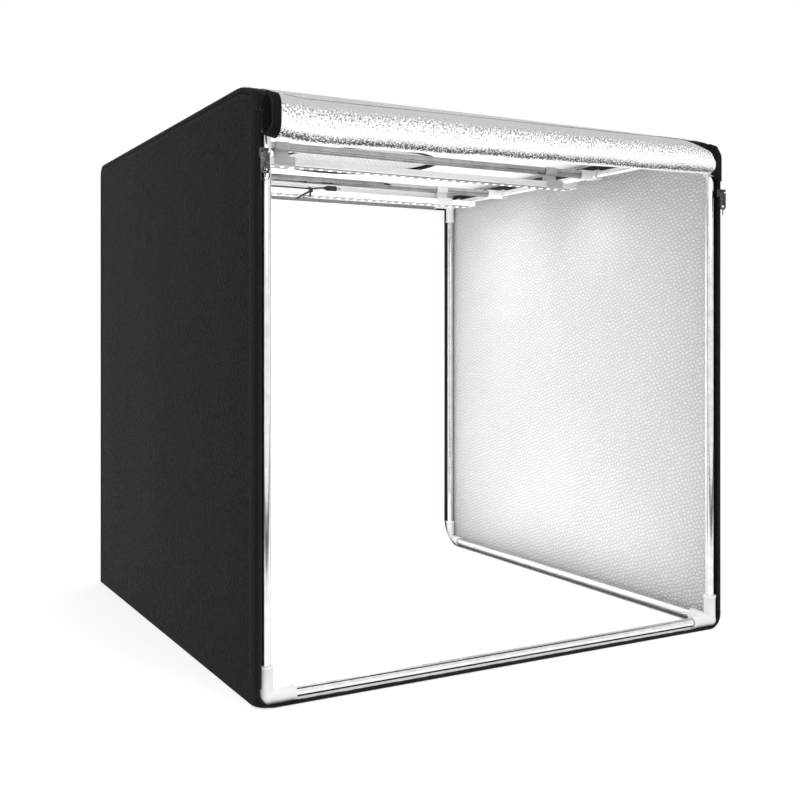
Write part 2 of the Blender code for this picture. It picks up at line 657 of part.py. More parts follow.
def smooth_route(points, step):
    """Even points along a smooth curve through a cord's own points."""
    padded = [2 * points[0] - points[1]] + points + [2 * points[-1] - points[-2]]
    fine = []
    for before, start, end, after in zip(padded, padded[1:], padded[2:], padded[3:]):
        for i in range(LEAD_CURVE_STEPS):
            t = i / LEAD_CURVE_STEPS
            fine.append((2 * start + (end - before) * t
                         + (2 * before - 5 * start + 4 * end - after) * t ** 2
                         + (3 * start - before - 3 * end + after) * t ** 3) / 2)
    fine.append(points[-1])
    lengths = [0]
    for a, b in zip(fine, fine[1:]):
        lengths.append(lengths[-1] + (b - a).length)
    count = round(lengths[-1] / step)
    even = []
    place = 0
    for i in range(count + 1):
        target = lengths[-1] * i / count
        while place < len(fine) - 2 and lengths[place + 1] < target:
            place += 1
        share = (target - lengths[place]) / (lengths[place + 1] - lengths[place])
        even.append(fine[place].lerp(fine[place + 1], min(share, 1)))
    print("power lead: %.0f mm long" % (1000 * lengths[-1]))
    return even


def make_lead(axis):
    left_end = Vector((-CHANNEL_LENGTH / 2, 0, 0))
    points = smooth_route([left_end + Vector(point) for point in LEAD_ROUTE], LEAD_STEP)
    curve = bpy.data.curves.new("power_lead", "CURVE")
    curve.dimensions = "3D"
    curve.bevel_depth = LEAD_DIAMETER / 2
    curve.bevel_resolution = 2
    curve.use_fill_caps = True
    spline = curve.splines.new("POLY")
    spline.points.add(len(points) - 1)
    for spot, point in zip(spline.points, points):
        spot.co = (*point, 1)
    lead = bpy.data.objects.new("power_lead", curve)
    bpy.context.scene.collection.objects.link(lead)
    curve.materials.append(finish_material(LEAD_PLASTIC))
    lead.parent = axis

    end = left_end + Vector(LEAD_ROUTE[-1])
    start_x = CLEARANCE
    stations = [(start_x, PLUG_NECK_RADIUS), (start_x + PLUG_TAPER_LENGTH, PLUG_RADIUS),
                (start_x + PLUG_LENGTH, PLUG_RADIUS), (start_x + PLUG_LENGTH, PLUG_TIP_RADIUS),
                (start_x + PLUG_LENGTH + PLUG_TIP_LENGTH, PLUG_TIP_RADIUS)]
    plug = turned(stations, "X", PLUG_SIDES)
    finish_piece(add_mesh("lead_plug", plug), LEAD_PLASTIC, end, axis)

    half_width = CHANNEL_WIDTH / 2 + CLEARANCE
    low = CHIPS_BOTTOM - CLEARANCE
    high = CHANNEL_TOP + 3 * CLEARANCE + LEAD_DIAMETER + TIE_THICKNESS
    loops = []
    for inset in (0, TIE_THICKNESS):
        reach = half_width + TIE_THICKNESS - inset
        bend = TIE_CORNER_RADIUS - inset
        bottom = low - TIE_THICKNESS + inset
        top = high - inset
        corners = [(reach - bend, top - bend, 0), (bend - reach, top - bend, pi / 2),
                   (bend - reach, bottom + bend, pi), (reach - bend, bottom + bend, 3 * pi / 2)]
        loop = []
        for across, up, angle in corners:
            loop += arc((across, up), bend, angle, angle + pi / 2, TIE_ARC_STEPS)
        loops.append(loop)
    outside, inside = loops
    half = TIE_WIDTH / 2
    rings = [[(x, a, b) for a, b in loop]
             for x, loop in ((-half, outside), (half, outside), (half, inside), (-half, inside))]
    band = solid_from_rings(rings, caps=False)
    head_front = -half_width - TIE_THICKNESS / 2
    head = box((-TIE_HEAD_SIZE / 2, head_front - TIE_HEAD_HEIGHT, -CHANNEL_DROP - TIE_HEAD_SIZE),
               (TIE_HEAD_SIZE / 2, head_front, -CHANNEL_DROP))
    tail = box((-TIE_TAIL_LENGTH, -TIE_THICKNESS / 2, -half), (0, TIE_THICKNESS / 2, half))
    bmesh.ops.rotate(tail, verts=tail.verts, matrix=Matrix.Rotation(-TIE_TAIL_ANGLE, 3, "Y"))
    bmesh.ops.translate(tail, verts=tail.verts,
                        vec=(0, head_front - TIE_HEAD_HEIGHT / 2, -CHANNEL_DROP - TIE_HEAD_SIZE / 2))
    finish_piece(joined("cable_tie", [band, head, tail]), LEAD_PLASTIC, (TIE_ALONG - CHANNEL_LENGTH / 2, 0, 0), axis)


def make_lights():
    clamp = clamp_shape()
    clip = clip_shape()
    front_centre = (FRONT_CLIP_LEFT_X + FRONT_CLIP_RIGHT_X) / 2
    make_light_bar("front", FRONT_BAR_Y, front_centre, (FRONT_CLIP_LEFT_X, FRONT_CLIP_RIGHT_X),
                   clamp, clip)
    rear_axis = make_light_bar("rear", REAR_BAR_Y, 0, (-REAR_CLIP_X, REAR_CLIP_X), clamp, clip)
    make_lead(rear_axis)
    bpy.data.objects.remove(clamp, do_unlink=True)
    bpy.data.objects.remove(clip, do_unlink=True)


def make_window_flap():
    """A round flap with a straight sewn edge, whose hinge line is that edge's upper corner."""
    half_angle = asin(FLAP_HINGE_BACK / FLAP_RADIUS)
    disc = arc((0, -FLAP_HINGE_BACK), FLAP_RADIUS, pi - half_angle, 2 * pi + half_angle, WINDOW_SIDES)
    flap = extruded(disc, "Z", -FLAP_THICKNESS, 0)
    place = (0, WINDOW_Y + FLAP_HINGE_BACK, CUBE_HEIGHT + CLEARANCE + FLAP_THICKNESS)
    finish_piece(add_mesh("roof_window_flap", flap), LEATHERETTE, place)


def backdrop_line(inset):
    """The backdrop's section from its top edge down, round the bend and forward over the floor."""
    back_y = REAR_Y - PANEL_THICKNESS - BACKDROP_STANDOFF - inset
    under_z = PANEL_THICKNESS + BACKDROP_LIFT + inset
    bend = BACKDROP_BEND_RADIUS - inset
    centre = (back_y - bend, under_z + bend)
    top = FRAME_TOP_Z - CONNECTOR_BALL_RADIUS - BACKDROP_TOP_UNDER_RAIL
    front = FRONT_Y + BACKDROP_FRONT_INSET
    return [(back_y, top)] + arc(centre, bend, 0, -pi / 2, BACKDROP_BEND_STEPS) + [(front, under_z)]


def make_backdrop():
    half = BACKDROP_HALF_WIDTH
    outline = backdrop_line(0) + list(reversed(backdrop_line(BACKDROP_THICKNESS)))
    finish_piece(add_mesh("backdrop", extruded(outline, "X", -half, half)), BACKDROP_SHEET)
    wall_y = REAR_Y - PANEL_THICKNESS
    top = backdrop_line(0)[0][1]
    strip = box((-half, wall_y - BACKDROP_STANDOFF + CLEARANCE, top - HOOK_STRIP_HEIGHT),
                (half, wall_y - CLEARANCE, top))
    finish_piece(add_mesh("backdrop_strip", strip), ZIP_TAPE)


def make_zip(side_name, side):
    """A slider in front of its tape, its tab on the slider's pin, and the ring in the tab."""
    centre_x = side * (HALF_WIDTH - TAB_WIDTH / 2)
    eye_up = SLIDER_HEIGHT - EAR_HEIGHT / 2
    slider_back = FRONT_Y - CLEARANCE
    slider_low = ROLL_BOTTOM_Z - SLIDER_UNDER_ROLL - SLIDER_HEIGHT
    slider_front = slider_back - SLIDER_DEPTH
    pin_y = slider_front - EAR_REACH + EAR_HEIGHT / 2 - CLEARANCE
    axis = joint_empty("zip_%s_axis" % side_name, (centre_x, pin_y, slider_low + eye_up))
    half = SLIDER_WIDTH / 2
    body = box((-half, slider_front - pin_y, -eye_up), (half, slider_back - pin_y, SLIDER_HEIGHT - eye_up))
    ears = []
    ear_inside = TAB_EYE_LENGTH / 2 + CLEARANCE
    sink = PIN_RADIUS / 2
    for ear_side in (-1, 1):
        ends = sorted((ear_side * ear_inside, ear_side * (ear_inside + EAR_THICKNESS)))
        ears.append(box((ends[0], slider_front - EAR_REACH - pin_y, -EAR_HEIGHT / 2 + sink),
                        (ends[1], slider_front - pin_y + sink, EAR_HEIGHT / 2 - sink)))
    pin_end = ear_inside + EAR_THICKNESS / 2
    pin = turned([(-pin_end, PIN_RADIUS), (pin_end, PIN_RADIUS)], "X", SMALL_SIDES)
    slider = joined("zip_slider_" + side_name, [body] + ears + [pin])
    finish_piece(slider, ZIP_METAL, parent=axis)

    eye_half = TAB_EYE_LENGTH / 2
    eye = turned([(-eye_half, TAB_EYE_RADIUS), (eye_half, TAB_EYE_RADIUS)], "X", SMALL_SIDES)
    shoulder = EAR_HEIGHT / 2 * sqrt(2) + CLEARANCE
    stem = box((-eye_half, -TAB_THICKNESS / 2, -shoulder - sink), (eye_half, TAB_THICKNESS / 2, 0))
    round_radius = TAB_WIDTH / 2
    plate_foot = arc((0, round_radius - TAB_LENGTH), round_radius, pi, 2 * pi, SMALL_SIDES)
    plate = extruded([(round_radius, -shoulder), (-round_radius, -shoulder)] + plate_foot, "Y",
                     -TAB_THICKNESS / 2, TAB_THICKNESS / 2)
    over = TAB_THICKNESS / 2 + CUT_OVERRUN
    hole_z = TAB_HOLE_UP - TAB_LENGTH
    hole = turned([(-over, TAB_HOLE_RADIUS), (over, TAB_HOLE_RADIUS)], "Y", HOLE_SIDES)
    bmesh.ops.translate(hole, verts=hole.verts, vec=(0, 0, hole_z))
    eye_over = eye_half + CUT_OVERRUN
    bore = turned([(-eye_over, PIN_RADIUS + CLEARANCE), (eye_over, PIN_RADIUS + CLEARANCE)], "X",
                  SMALL_SIDES)
    tab = cut(joined("pull_tab_" + side_name, [plate, stem, eye]), [hole, bore])
    finish_piece(tab, ZIP_METAL, parent=axis)

    wire_top = hole_z - TAB_HOLE_RADIUS + RING_WIRE_RADIUS + CLEARANCE + RING_SEAT
    ring_axis = joint_empty("ring_%s_axis" % side_name, (0, 0, wire_top), axis)
    rings = []
    for i in range(RING_STEPS):
        angle = 2 * pi * i / RING_STEPS
        out = Vector((sin(angle), 0, cos(angle)))
        middle = Vector((0, 0, -RING_RADIUS)) + RING_RADIUS * out
        wire = []
        for j in range(SMALL_SIDES - 2):
            around = 2 * pi * j / (SMALL_SIDES - 2)
            wire.append(middle + RING_WIRE_RADIUS * (cos(around) * out + sin(around) * Vector((0, 1, 0))))
        rings.append(wire)
    ring = solid_from_rings(rings, caps=False)
    bmesh.ops.rotate(ring, verts=ring.verts, matrix=Matrix.Rotation(side * RING_TURN, 3, "Z"))
    finish_piece(add_mesh("pull_ring_" + side_name, ring), ZIP_METAL, parent=ring_axis)


clear_scene()
make_panels()
make_opening_bands()
make_door()
make_frame()
make_lights()
make_window_flap()
make_backdrop()
make_zip("left", -1)
make_zip("right", 1)
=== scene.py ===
"""A folding light tent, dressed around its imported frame. Every size is in metres."""

from math import cos, pi, radians, sin, sqrt

import bmesh
import bpy
import numpy as np
from mathutils import Matrix, Vector, noise


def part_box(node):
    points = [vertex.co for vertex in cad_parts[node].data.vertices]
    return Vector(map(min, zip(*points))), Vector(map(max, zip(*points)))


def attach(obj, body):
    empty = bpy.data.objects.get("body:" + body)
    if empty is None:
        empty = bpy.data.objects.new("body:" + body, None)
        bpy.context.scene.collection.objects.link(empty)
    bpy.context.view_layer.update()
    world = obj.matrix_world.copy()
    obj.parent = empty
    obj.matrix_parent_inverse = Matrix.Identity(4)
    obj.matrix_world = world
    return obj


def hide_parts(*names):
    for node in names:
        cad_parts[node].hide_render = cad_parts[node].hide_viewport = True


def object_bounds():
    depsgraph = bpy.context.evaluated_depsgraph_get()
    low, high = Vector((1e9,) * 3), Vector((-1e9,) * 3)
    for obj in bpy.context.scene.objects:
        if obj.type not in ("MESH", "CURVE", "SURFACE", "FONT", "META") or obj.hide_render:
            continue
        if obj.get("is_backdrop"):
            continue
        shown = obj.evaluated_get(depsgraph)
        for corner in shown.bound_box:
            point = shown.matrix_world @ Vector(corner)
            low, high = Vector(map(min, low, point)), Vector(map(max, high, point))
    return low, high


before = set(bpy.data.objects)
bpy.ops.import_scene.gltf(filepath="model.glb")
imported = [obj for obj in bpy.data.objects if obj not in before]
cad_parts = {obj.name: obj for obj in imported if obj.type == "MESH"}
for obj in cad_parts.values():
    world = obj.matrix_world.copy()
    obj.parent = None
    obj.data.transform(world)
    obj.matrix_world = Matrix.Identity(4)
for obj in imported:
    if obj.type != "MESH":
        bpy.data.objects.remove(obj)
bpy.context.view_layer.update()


# The camera stands in front of the tent's left side, level with its middle. Its lens is held
# upright and shifted down a little, so that the tent's uprights stay parallel.
CAMERA_PLACE = (-0.9008, -1.6573, 0.4712)
CAMERA_TURN = radians(29.1)
LENS_LENGTH = 48.33
LENS_SHIFT = -0.0788

lens = bpy.data.cameras.new("camera")
lens.lens = LENS_LENGTH
lens.shift_y = LENS_SHIFT
camera = bpy.data.objects.new("camera", lens)
camera.location = CAMERA_PLACE
camera.rotation_euler = (pi / 2, 0, -CAMERA_TURN)
bpy.context.scene.collection.objects.link(camera)
bpy.context.scene.camera = camera
bpy.context.scene.view_settings.view_transform = "Standard"


# The power lead is a thin limp black cable. It leaves the rear light bar's left end cap, turns back
# over the channel and its clip, and ends in a small round moulded plug with a metal barrel.
LEAD_DIAMETER = 0.003
LEAD_STEP = 0.003
LEAD_ROUTE = [
    (-0.0036, -0.0080, -0.0250), (-0.0130, -0.0082, -0.0250), (-0.0220, -0.0088, -0.0238),
    (-0.0275, -0.0098, -0.0190), (-0.0280, -0.0108, -0.0130), (-0.0240, -0.0116, -0.0085),
    (-0.0160, -0.0120, -0.0075), (-0.0060, -0.0121, -0.0100), (0.0050, -0.0120, -0.0135),
    (0.0180, -0.0119, -0.0150), (0.0500, -0.0118, -0.0154), (0.0900, -0.0117, -0.0156),
    (0.1040, -0.0115, -0.0172), (0.1240, -0.0112, -0.0180), (0.1440, -0.0104, -0.0180),
    (0.1600, -0.0098, -0.0180), (0.2000, -0.0102, -0.0180), (0.2300, -0.0106, -0.0180),
    (0.2480, -0.0107, -0.0180), (0.2600, -0.0106, -0.0172), (0.2680, -0.0104, -0.0158),
    (0.2750, -0.0103, -0.0149), (0.2800, -0.0103, -0.0147),
]


class Wire:
    """A socket in a material. Sums on it add Math nodes, and node() adds any other node."""

    def __init__(self, tree, socket=None):
        self.tree = tree
        self.socket = socket

    def node(self, kind, sockets=(), output=0, **settings):
        made = self.tree.nodes.new("ShaderNode" + kind)
        for name, value in settings.items():
            setattr(made, name, value)
        for name, value in dict(sockets).items():
            if isinstance(value, Wire):
                self.tree.links.new(value.socket, made.inputs[name])
            else:
                made.inputs[name].default_value = value
        return Wire(self.tree, made.outputs[output] if made.outputs else None)

    def sum(self, operation, *values):
        return self.node("Math", enumerate(values), operation=operation)

    def __add__(self, other):
        return self.sum("ADD", self, other)

    def __sub__(self, other):
        return self.sum("SUBTRACT", self, other)

    def __rsub__(self, other):
        return self.sum("SUBTRACT", other, self)

    def __mul__(self, other):
        return self.sum("MULTIPLY", self, other)

    __radd__ = __add__
    __rmul__ = __mul__

    def ease(self, low, high):
        """0 below low, 1 above high and smooth between."""
        return self.node("MapRange", {"Value": self, "From Min": low, "From Max": high},
                         interpolation_type="SMOOTHSTEP")

    def tint(self, low, high):
        """The colour low where this is 0, and high where it is 1."""
        return self.node("Mix", {0: self, 6: low, 7: high}, output=2, data_type="RGBA")

    def noise(self, scale, detail=2.0, more=(), **settings):
        """Cloudy noise at this place."""
        sockets = {"Vector": self, "Scale": scale, "Detail": detail, **dict(more)}
        return self.node("TexNoise", sockets, **settings)

    def scaled(self, *scale):
        """This place, counted in other units along each axis."""
        return self.node("Mapping", {"Vector": self, "Scale": scale})

    def bump(self, distance, strength=1.0):
        """The normal of a surface that has this height."""
        return self.node("Bump", {"Height": self, "Distance": distance, "Strength": strength})

    def finish(self, colour, roughness, normal=None, more=()):
        """Close the material with one surface shader."""
        sockets = {"Base Color": colour, "Roughness": roughness, **dict(more)}
        if normal:
            sockets["Normal"] = normal
        self.node("OutputMaterial", {"Surface": self.node("BsdfPrincipled", sockets)})


def grey(value, warmth=0.0):
    """A neutral colour, a little warmer or cooler."""
    return (value * (1 + warmth), value, value * (1 - warmth), 1)


def new_finish(name, kind="TexCoord", output="Object", **settings):
    """A material and the wire of its first node, which gives the place on the piece."""
    material = bpy.data.materials.new(name)
    material.use_nodes = True
    material.node_tree.nodes.clear()
    return material, Wire(material.node_tree).node(kind, output=output, **settings)


def plastic_finish(name, colour, roughness, grain_scale, grain_depth, mottle):
    """Moulded plastic: a fine spark-eroded grain and slight flow marks in its colour and gloss."""
    material, place = new_finish(name)
    flow = place.noise(35.0, 4.0)
    scuff = place.noise(210.0, 5.0, {"Distortion": 0.6})
    darker = tuple(part * (1 - mottle) for part in colour[:3]) + (1,)
    place.finish(flow.ease(0.35, 0.65).tint(darker, colour), roughness + (scuff - 0.5) * 0.22,
                 place.noise(grain_scale, 3.0).bump(grain_depth))
    return material


def new_piece(name, solid, *finishes, crease=35):
    """An object from a bmesh, smooth except across its sharp edges."""
    mesh = bpy.data.meshes.new(name)
    solid.to_mesh(mesh)
    solid.free()
    piece = bpy.data.objects.new(name, mesh)
    bpy.context.scene.collection.objects.link(piece)
    for finish in finishes:
        mesh.materials.append(finish)
    mesh.shade_smooth()
    mesh.set_sharp_from_angle(angle=radians(crease))
    return piece


def settle(piece, body, slot, *nodes):
    """Make a piece ride on its body, in place of its CAD nodes, which are hidden. The slot is not used."""
    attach(piece, body)
    if nodes:
        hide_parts(*nodes)
    return piece


def skin(rings, caps=True, marks=None):
    """Skin a row of rings. Without caps the last ring joins the first. Marks number the finishes."""
    solid = bmesh.new()
    marks = marks or [0] * len(rings)
    rows = [[solid.verts.new(point) for point in ring] for ring in rings]
    for k in range(len(rows) - caps):
        low, high = rows[k], rows[(k + 1) % len(rows)]
        for i in range(len(low)):
            j = (i + 1) % len(low)
            solid.faces.new((low[i], low[j], high[j], high[i])).material_index = marks[k]
    if caps:
        solid.faces.new(list(reversed(rows[0])))
        solid.faces.new(rows[-1]).material_index = marks[-1]
    bmesh.ops.recalc_face_normals(solid, faces=solid.faces)
    return solid


AXES = {"X": Matrix(((0, 0, 1), (1, 0, 0), (0, 1, 0))), "Y": Matrix(((1, 0, 0), (0, 0, 1), (0, 1, 0))),
        "Z": Matrix.Identity(3)}


def turned(stations, axis, centre=(0, 0, 0), sides=40, caps=True, marks=None):
    """A turned solid. Each station is a distance along the axis and a radius there."""
    rings = []
    for distance, radius in stations:
        ring = [AXES[axis] @ Vector((radius * cos(2 * pi * i / sides), radius * sin(2 * pi * i / sides),
                                     distance)) for i in range(sides)]
        rings.append([Vector(centre) + point for point in ring])
    return skin(rings, caps, marks)


def middle_of(node):
    low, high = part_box(node)
    return (low + high) / 2


def smooth_route(points, step):
    """Even points along a smooth curve through a cord's own points."""
    padded = [2 * points[0] - points[1]] + points + [2 * points[-1] - points[-2]]
    fine = []
    for before, start, end, after in zip(padded, padded[1:], padded[2:], padded[3:]):
        for i in range(12):
            t = i / 12
            fine.append((2 * start + (end - before) * t
                         + (2 * before - 5 * start + 4 * end - after) * t ** 2
                         + (3 * start - before - 3 * end + after) * t ** 3) / 2)
    fine.append(points[-1])
    lengths = np.cumsum([0] + [(b - a).length for a, b in zip(fine, fine[1:])])
    even = np.linspace(0, lengths[-1], round(lengths[-1] / step) + 1)
    axes = [np.interp(even, lengths, [point[k] for point in fine]) for k in range(3)]
    return [Vector(point) for point in zip(*axes)], float(lengths[-1])


channel_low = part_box("light_channel_rear")[0]
rear_axis = middle_of("cross_tube_rear")
lead_start = Vector((channel_low.x, rear_axis.y, rear_axis.z))
lead_points, lead_length = smooth_route([lead_start + Vector(point) for point in LEAD_ROUTE], LEAD_STEP)

cable_finish = plastic_finish("Black cable jacket", grey(0.014), 0.42, 2600, 0.00012, 0.2)
curve = bpy.data.curves.new("power_cord", "CURVE")
curve.dimensions = "3D"
curve.bevel_depth = LEAD_DIAMETER / 2
curve.bevel_resolution = 4
curve.use_fill_caps = True
spline = curve.splines.new("POLY")
spline.points.add(len(lead_points) - 1)
for spot, point in zip(spline.points, lead_points):
    spot.co = (*point, 1)
curve.materials.append(cable_finish)
power_cord = bpy.data.objects.new("power_cord", curve)
bpy.context.scene.collection.objects.link(power_cord)
settle(power_cord, "rear_light", "lead_plastic", "power_lead")

barrel_finish, place = new_finish("Nickel plug barrel")
drawn = place.scaled(300, 4000, 4000).noise(1.0)
place.finish(drawn.tint(grey(0.55, 0.03), grey(0.72, 0.03)), 0.2 + 0.15 * drawn, more={"Metallic": 1.0})
plug_back = Vector((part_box("lead_plug")[0].x, *middle_of("lead_plug").yz))
PLUG_STATIONS = [
    (0.0000, 0.0017, 0), (0.0012, 0.0022, 0), (0.0028, 0.0024, 0), (0.0030, 0.0030, 0), (0.0044, 0.0032, 0),
    (0.0046, 0.0037, 0), (0.0060, 0.0040, 0), (0.0062, 0.0046, 0), (0.0075, 0.0049, 0), (0.0105, 0.0050, 0),
    (0.0107, 0.0046, 0), (0.0117, 0.0046, 0), (0.0119, 0.0050, 0), (0.0133, 0.0050, 0), (0.0135, 0.0046, 0),
    (0.0145, 0.0046, 0), (0.0147, 0.0050, 0), (0.0161, 0.0050, 0), (0.0163, 0.0046, 0), (0.0173, 0.0046, 0),
    (0.0175, 0.0050, 0), (0.0252, 0.0050, 0), (0.0258, 0.0046, 0), (0.0260, 0.0030, 1), (0.0260, 0.00275, 1),
    (0.0342, 0.00275, 1), (0.0349, 0.0023, 1), (0.0350, 0.0012, 1), (0.0290, 0.0011, 1),
]
plug_solid = turned([station[:2] for station in PLUG_STATIONS], "X", plug_back, sides=28,
                    marks=[station[2] for station in PLUG_STATIONS])
plug = new_piece("lead_plug_body", plug_solid, cable_finish, barrel_finish)
settle(plug, "rear_light", "lead_plastic", "lead_plug")


# A nylon tie holds the lead's plug end to the rear light bar. It is one ribbed strap, pulled tight
# through its square head, with the loose tail left on.
def soft_copy(node, name, round_over, *finishes, segments=2, crease=35):
    """A CAD node's shape as one closed mesh, with its edges rounded over."""
    solid = bmesh.new()
    solid.from_mesh(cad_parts[node].data)
    bmesh.ops.remove_doubles(solid, verts=solid.verts, dist=1e-6)
    bmesh.ops.dissolve_limit(solid, angle_limit=radians(1), verts=solid.verts, edges=solid.edges)
    piece = new_piece(name, solid, *finishes, crease=crease)
    bevel = piece.modifiers.new("round over", "BEVEL")
    bevel.width = round_over
    bevel.segments = segments
    bevel.angle_limit = radians(40)
    bevel.use_clamp_overlap = True
    return baked(piece, crease)


def baked(piece, crease=35):
    """Turn a piece's modifiers into its mesh."""
    mesh = bpy.data.meshes.new_from_object(piece.evaluated_get(bpy.context.evaluated_depsgraph_get()))
    piece.modifiers.clear()
    piece.data = mesh
    mesh.shade_smooth()
    mesh.set_sharp_from_angle(angle=radians(crease))
    return piece


tie_finish = plastic_finish("Black nylon tie", grey(0.018), 0.35, 1800, 0.0001, 0.15)
tie = soft_copy("cable_tie", "nylon_tie", 0.0003, tie_finish)
settle(tie, "rear_light", "lead_plastic", "cable_tie")


# The frame is of thin-walled steel tube, drawn, cut square and plated bright. Each tube pushes into
# the white corner pieces, and the two cross tubes into the clamps that ride on the top rails. The cross
# tubes' plating is painted darker: painted shade.
TUBE_RADIUS = 0.007
TUBE_WALL = 0.001


def plated_finish(name, tone):
    """Plated steel: slight haze in its colour and gloss, and fine rubbed marks."""
    material, place = new_finish(name)
    haze = place.noise(60.0, 5.0)
    rub = place.noise(900.0, 2.0, {"Distortion": 1.5})
    place.finish(haze.ease(0.3, 0.7).tint(grey(tone - 0.05), grey(tone + 0.05)),
                 0.11 + 0.05 * haze + 0.03 * rub, haze.bump(0.0001, 0.2), {"Metallic": 1.0})
    return material


bright_steel = plated_finish("Bright plated steel", 0.77)
# The cross tubes' copy of the plating is painted darker: painted shade.
painted_shade_steel = plated_finish("Plated steel painted darker", 0.42)


def tube_piece(node, body, finish):
    """One tube with its bore and slightly rounded ends, between its node's two ends."""
    low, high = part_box(node)
    long_side = max(range(3), key=lambda k: high[k] - low[k])
    start, end = low[long_side], high[long_side]
    lip = TUBE_WALL * 0.3
    bore = TUBE_RADIUS - TUBE_WALL
    stations = [(start, TUBE_RADIUS - lip), (start + lip, TUBE_RADIUS), (end - lip, TUBE_RADIUS),
                (end, TUBE_RADIUS - lip), (end, bore + lip), (end - lip, bore), (start + lip, bore),
                (start, bore + lip)]
    centre = (low + high) / 2
    centre[long_side] = 0
    tube = new_piece(node + "_bright", turned(stations, "XYZ"[long_side], centre, caps=False), finish)
    settle(tube, body, "chrome_tube", node)


for node in sorted(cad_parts):
    if node.startswith(("rail_bottom", "rail_top", "upright")):
        tube_piece(node, "root", bright_steel)
tube_piece("cross_tube_front", "front_carriage", painted_shade_steel)
tube_piece("cross_tube_rear", "rear_carriage", painted_shade_steel)


# Eight three-way corners hold the tubes. Each is moulded in white plastic as a ball with three
# sleeves, which have a thicker lip at the mouth and a blind socket that grips the tube.
TENT_MIDDLE = (0, 0, 0.4)
CORNER_BALL_RADIUS = 0.010
SLEEVE_RADIUS = 0.0092
SLEEVE_LENGTH = 0.040
SLEEVE_LIP = 0.004
SOCKET_RADIUS = 0.0073
SOCKET_DEPTH = 0.026

white_finish = plastic_finish("White moulded plastic", grey(0.80, 0.006), 0.38, 1500, 0.00018, 0.05)


def combine(piece, solid, operation):
    """Join or cut a piece with another solid, which is used up."""
    operand = new_piece("operand", solid)
    modifier = piece.modifiers.new(operation, "BOOLEAN")
    modifier.operation = operation
    modifier.object = operand
    baked(piece)
    bpy.data.objects.remove(operand, do_unlink=True)
    return piece


def sleeve_stations(length, lip, radius, lip_radius, bore, depth, round_over=0.0008):
    """A sleeve's section, from the middle of the piece out to the lip and back into its socket."""
    stations = [(0, radius)]
    if lip:
        stations += [(length - lip - round_over / 2, radius), (length - lip, radius + round_over / 4),
                     (length - lip + round_over / 2, lip_radius)]
    return stations + [(length - round_over, lip_radius),
                       (length - round_over * 0.3, lip_radius - round_over * 0.3),
                       (length, lip_radius - round_over), (length, bore + round_over / 2),
                       (length - round_over / 2, bore), (length - depth, bore)]


def moulded_copy(shape, matrix, node, body):
    """A copy of a moulded shape at its node's place. A mirrored one is turned right side out."""
    solid = bmesh.new()
    solid.from_mesh(shape.data)
    solid.transform(matrix)
    if matrix.determinant() < 0:
        bmesh.ops.reverse_faces(solid, faces=solid.faces)
    settle(new_piece(node + "_moulded", solid, white_finish), body, "white_plastic", node)


ball = bmesh.new()
bmesh.ops.create_uvsphere(ball, u_segments=40, v_segments=24, radius=CORNER_BALL_RADIUS)
corner_shape = new_piece("corner_shape", ball)
sleeve = sleeve_stations(SLEEVE_LENGTH, SLEEVE_LIP, SLEEVE_RADIUS, CORNER_BALL_RADIUS,
                         SOCKET_RADIUS, SOCKET_DEPTH)
for axis in "XYZ":
    combine(corner_shape, turned(sleeve, axis), "UNION")
for node in sorted(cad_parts):
    if node.startswith("corner_"):
        low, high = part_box(node)
        signs = Vector([1 if low[k] < TENT_MIDDLE[k] else -1 for k in range(3)])
        edge = Vector([low[k] if signs[k] > 0 else high[k] for k in range(3)])
        moulded_copy(corner_shape, Matrix.Translation(edge + signs * CORNER_BALL_RADIUS)
                     @ Matrix.Diagonal((*signs, 1)), node, "root")
bpy.data.objects.remove(corner_shape, do_unlink=True)


# Four T clamps carry the cross tubes. Each snaps over a top rail from above through a slot in its
# underside, slides along it, and takes the cross tube in a short sleeve.
CLAMP_RADIUS = 0.0095
CLAMP_LENGTH = 0.030
CLAMP_SLOT = 0.010
CLAMP_SLEEVE_RADIUS = 0.0090
CLAMP_SLEEVE_LENGTH = 0.034
CLAMP_SOCKET_DEPTH = 0.020
CLAMP_ROUND = 0.0008

half = CLAMP_LENGTH / 2
sleeve = [(-half, CLAMP_RADIUS - CLAMP_ROUND), (-half + CLAMP_ROUND, CLAMP_RADIUS),
          (half - CLAMP_ROUND, CLAMP_RADIUS), (half, CLAMP_RADIUS - CLAMP_ROUND)]
clamp_shape = new_piece("clamp_shape", turned(sleeve, "Y"))
sleeve = sleeve_stations(CLAMP_SLEEVE_LENGTH, 0, CLAMP_SLEEVE_RADIUS, CLAMP_SLEEVE_RADIUS,
                         SOCKET_RADIUS, CLAMP_SOCKET_DEPTH)
combine(clamp_shape, turned(sleeve, "X"), "UNION")
combine(clamp_shape, turned([(y, SOCKET_RADIUS) for y in (-CLAMP_LENGTH, CLAMP_LENGTH)], "Y"), "DIFFERENCE")
slot_corners = [(-CLAMP_SLOT / 2, 0), (CLAMP_SLOT / 2, 0), (CLAMP_SLOT / 2 + 0.001, -CLAMP_LENGTH),
                (-CLAMP_SLOT / 2 - 0.001, -CLAMP_LENGTH)]
slot = skin([[(x, y, z) for x, z in slot_corners] for y in (-CLAMP_LENGTH, CLAMP_LENGTH)])
combine(clamp_shape, slot, "DIFFERENCE")
for place_name in ("front", "rear"):
    for side_name, side in (("left", -1), ("right", 1)):
        node = "rail_clamp_%s_%s" % (place_name, side_name)
        low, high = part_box(node)
        rail_x = (low.x if side < 0 else high.x) - side * CLAMP_RADIUS
        place = Matrix.Translation((rail_x, (low.y + high.y) / 2, high.z - CLAMP_RADIUS))
        moulded_copy(clamp_shape, place @ Matrix.Rotation(0 if side < 0 else pi, 4, "Z"), node,
                     place_name + "_carriage")
bpy.data.objects.remove(clamp_shape, do_unlink=True)


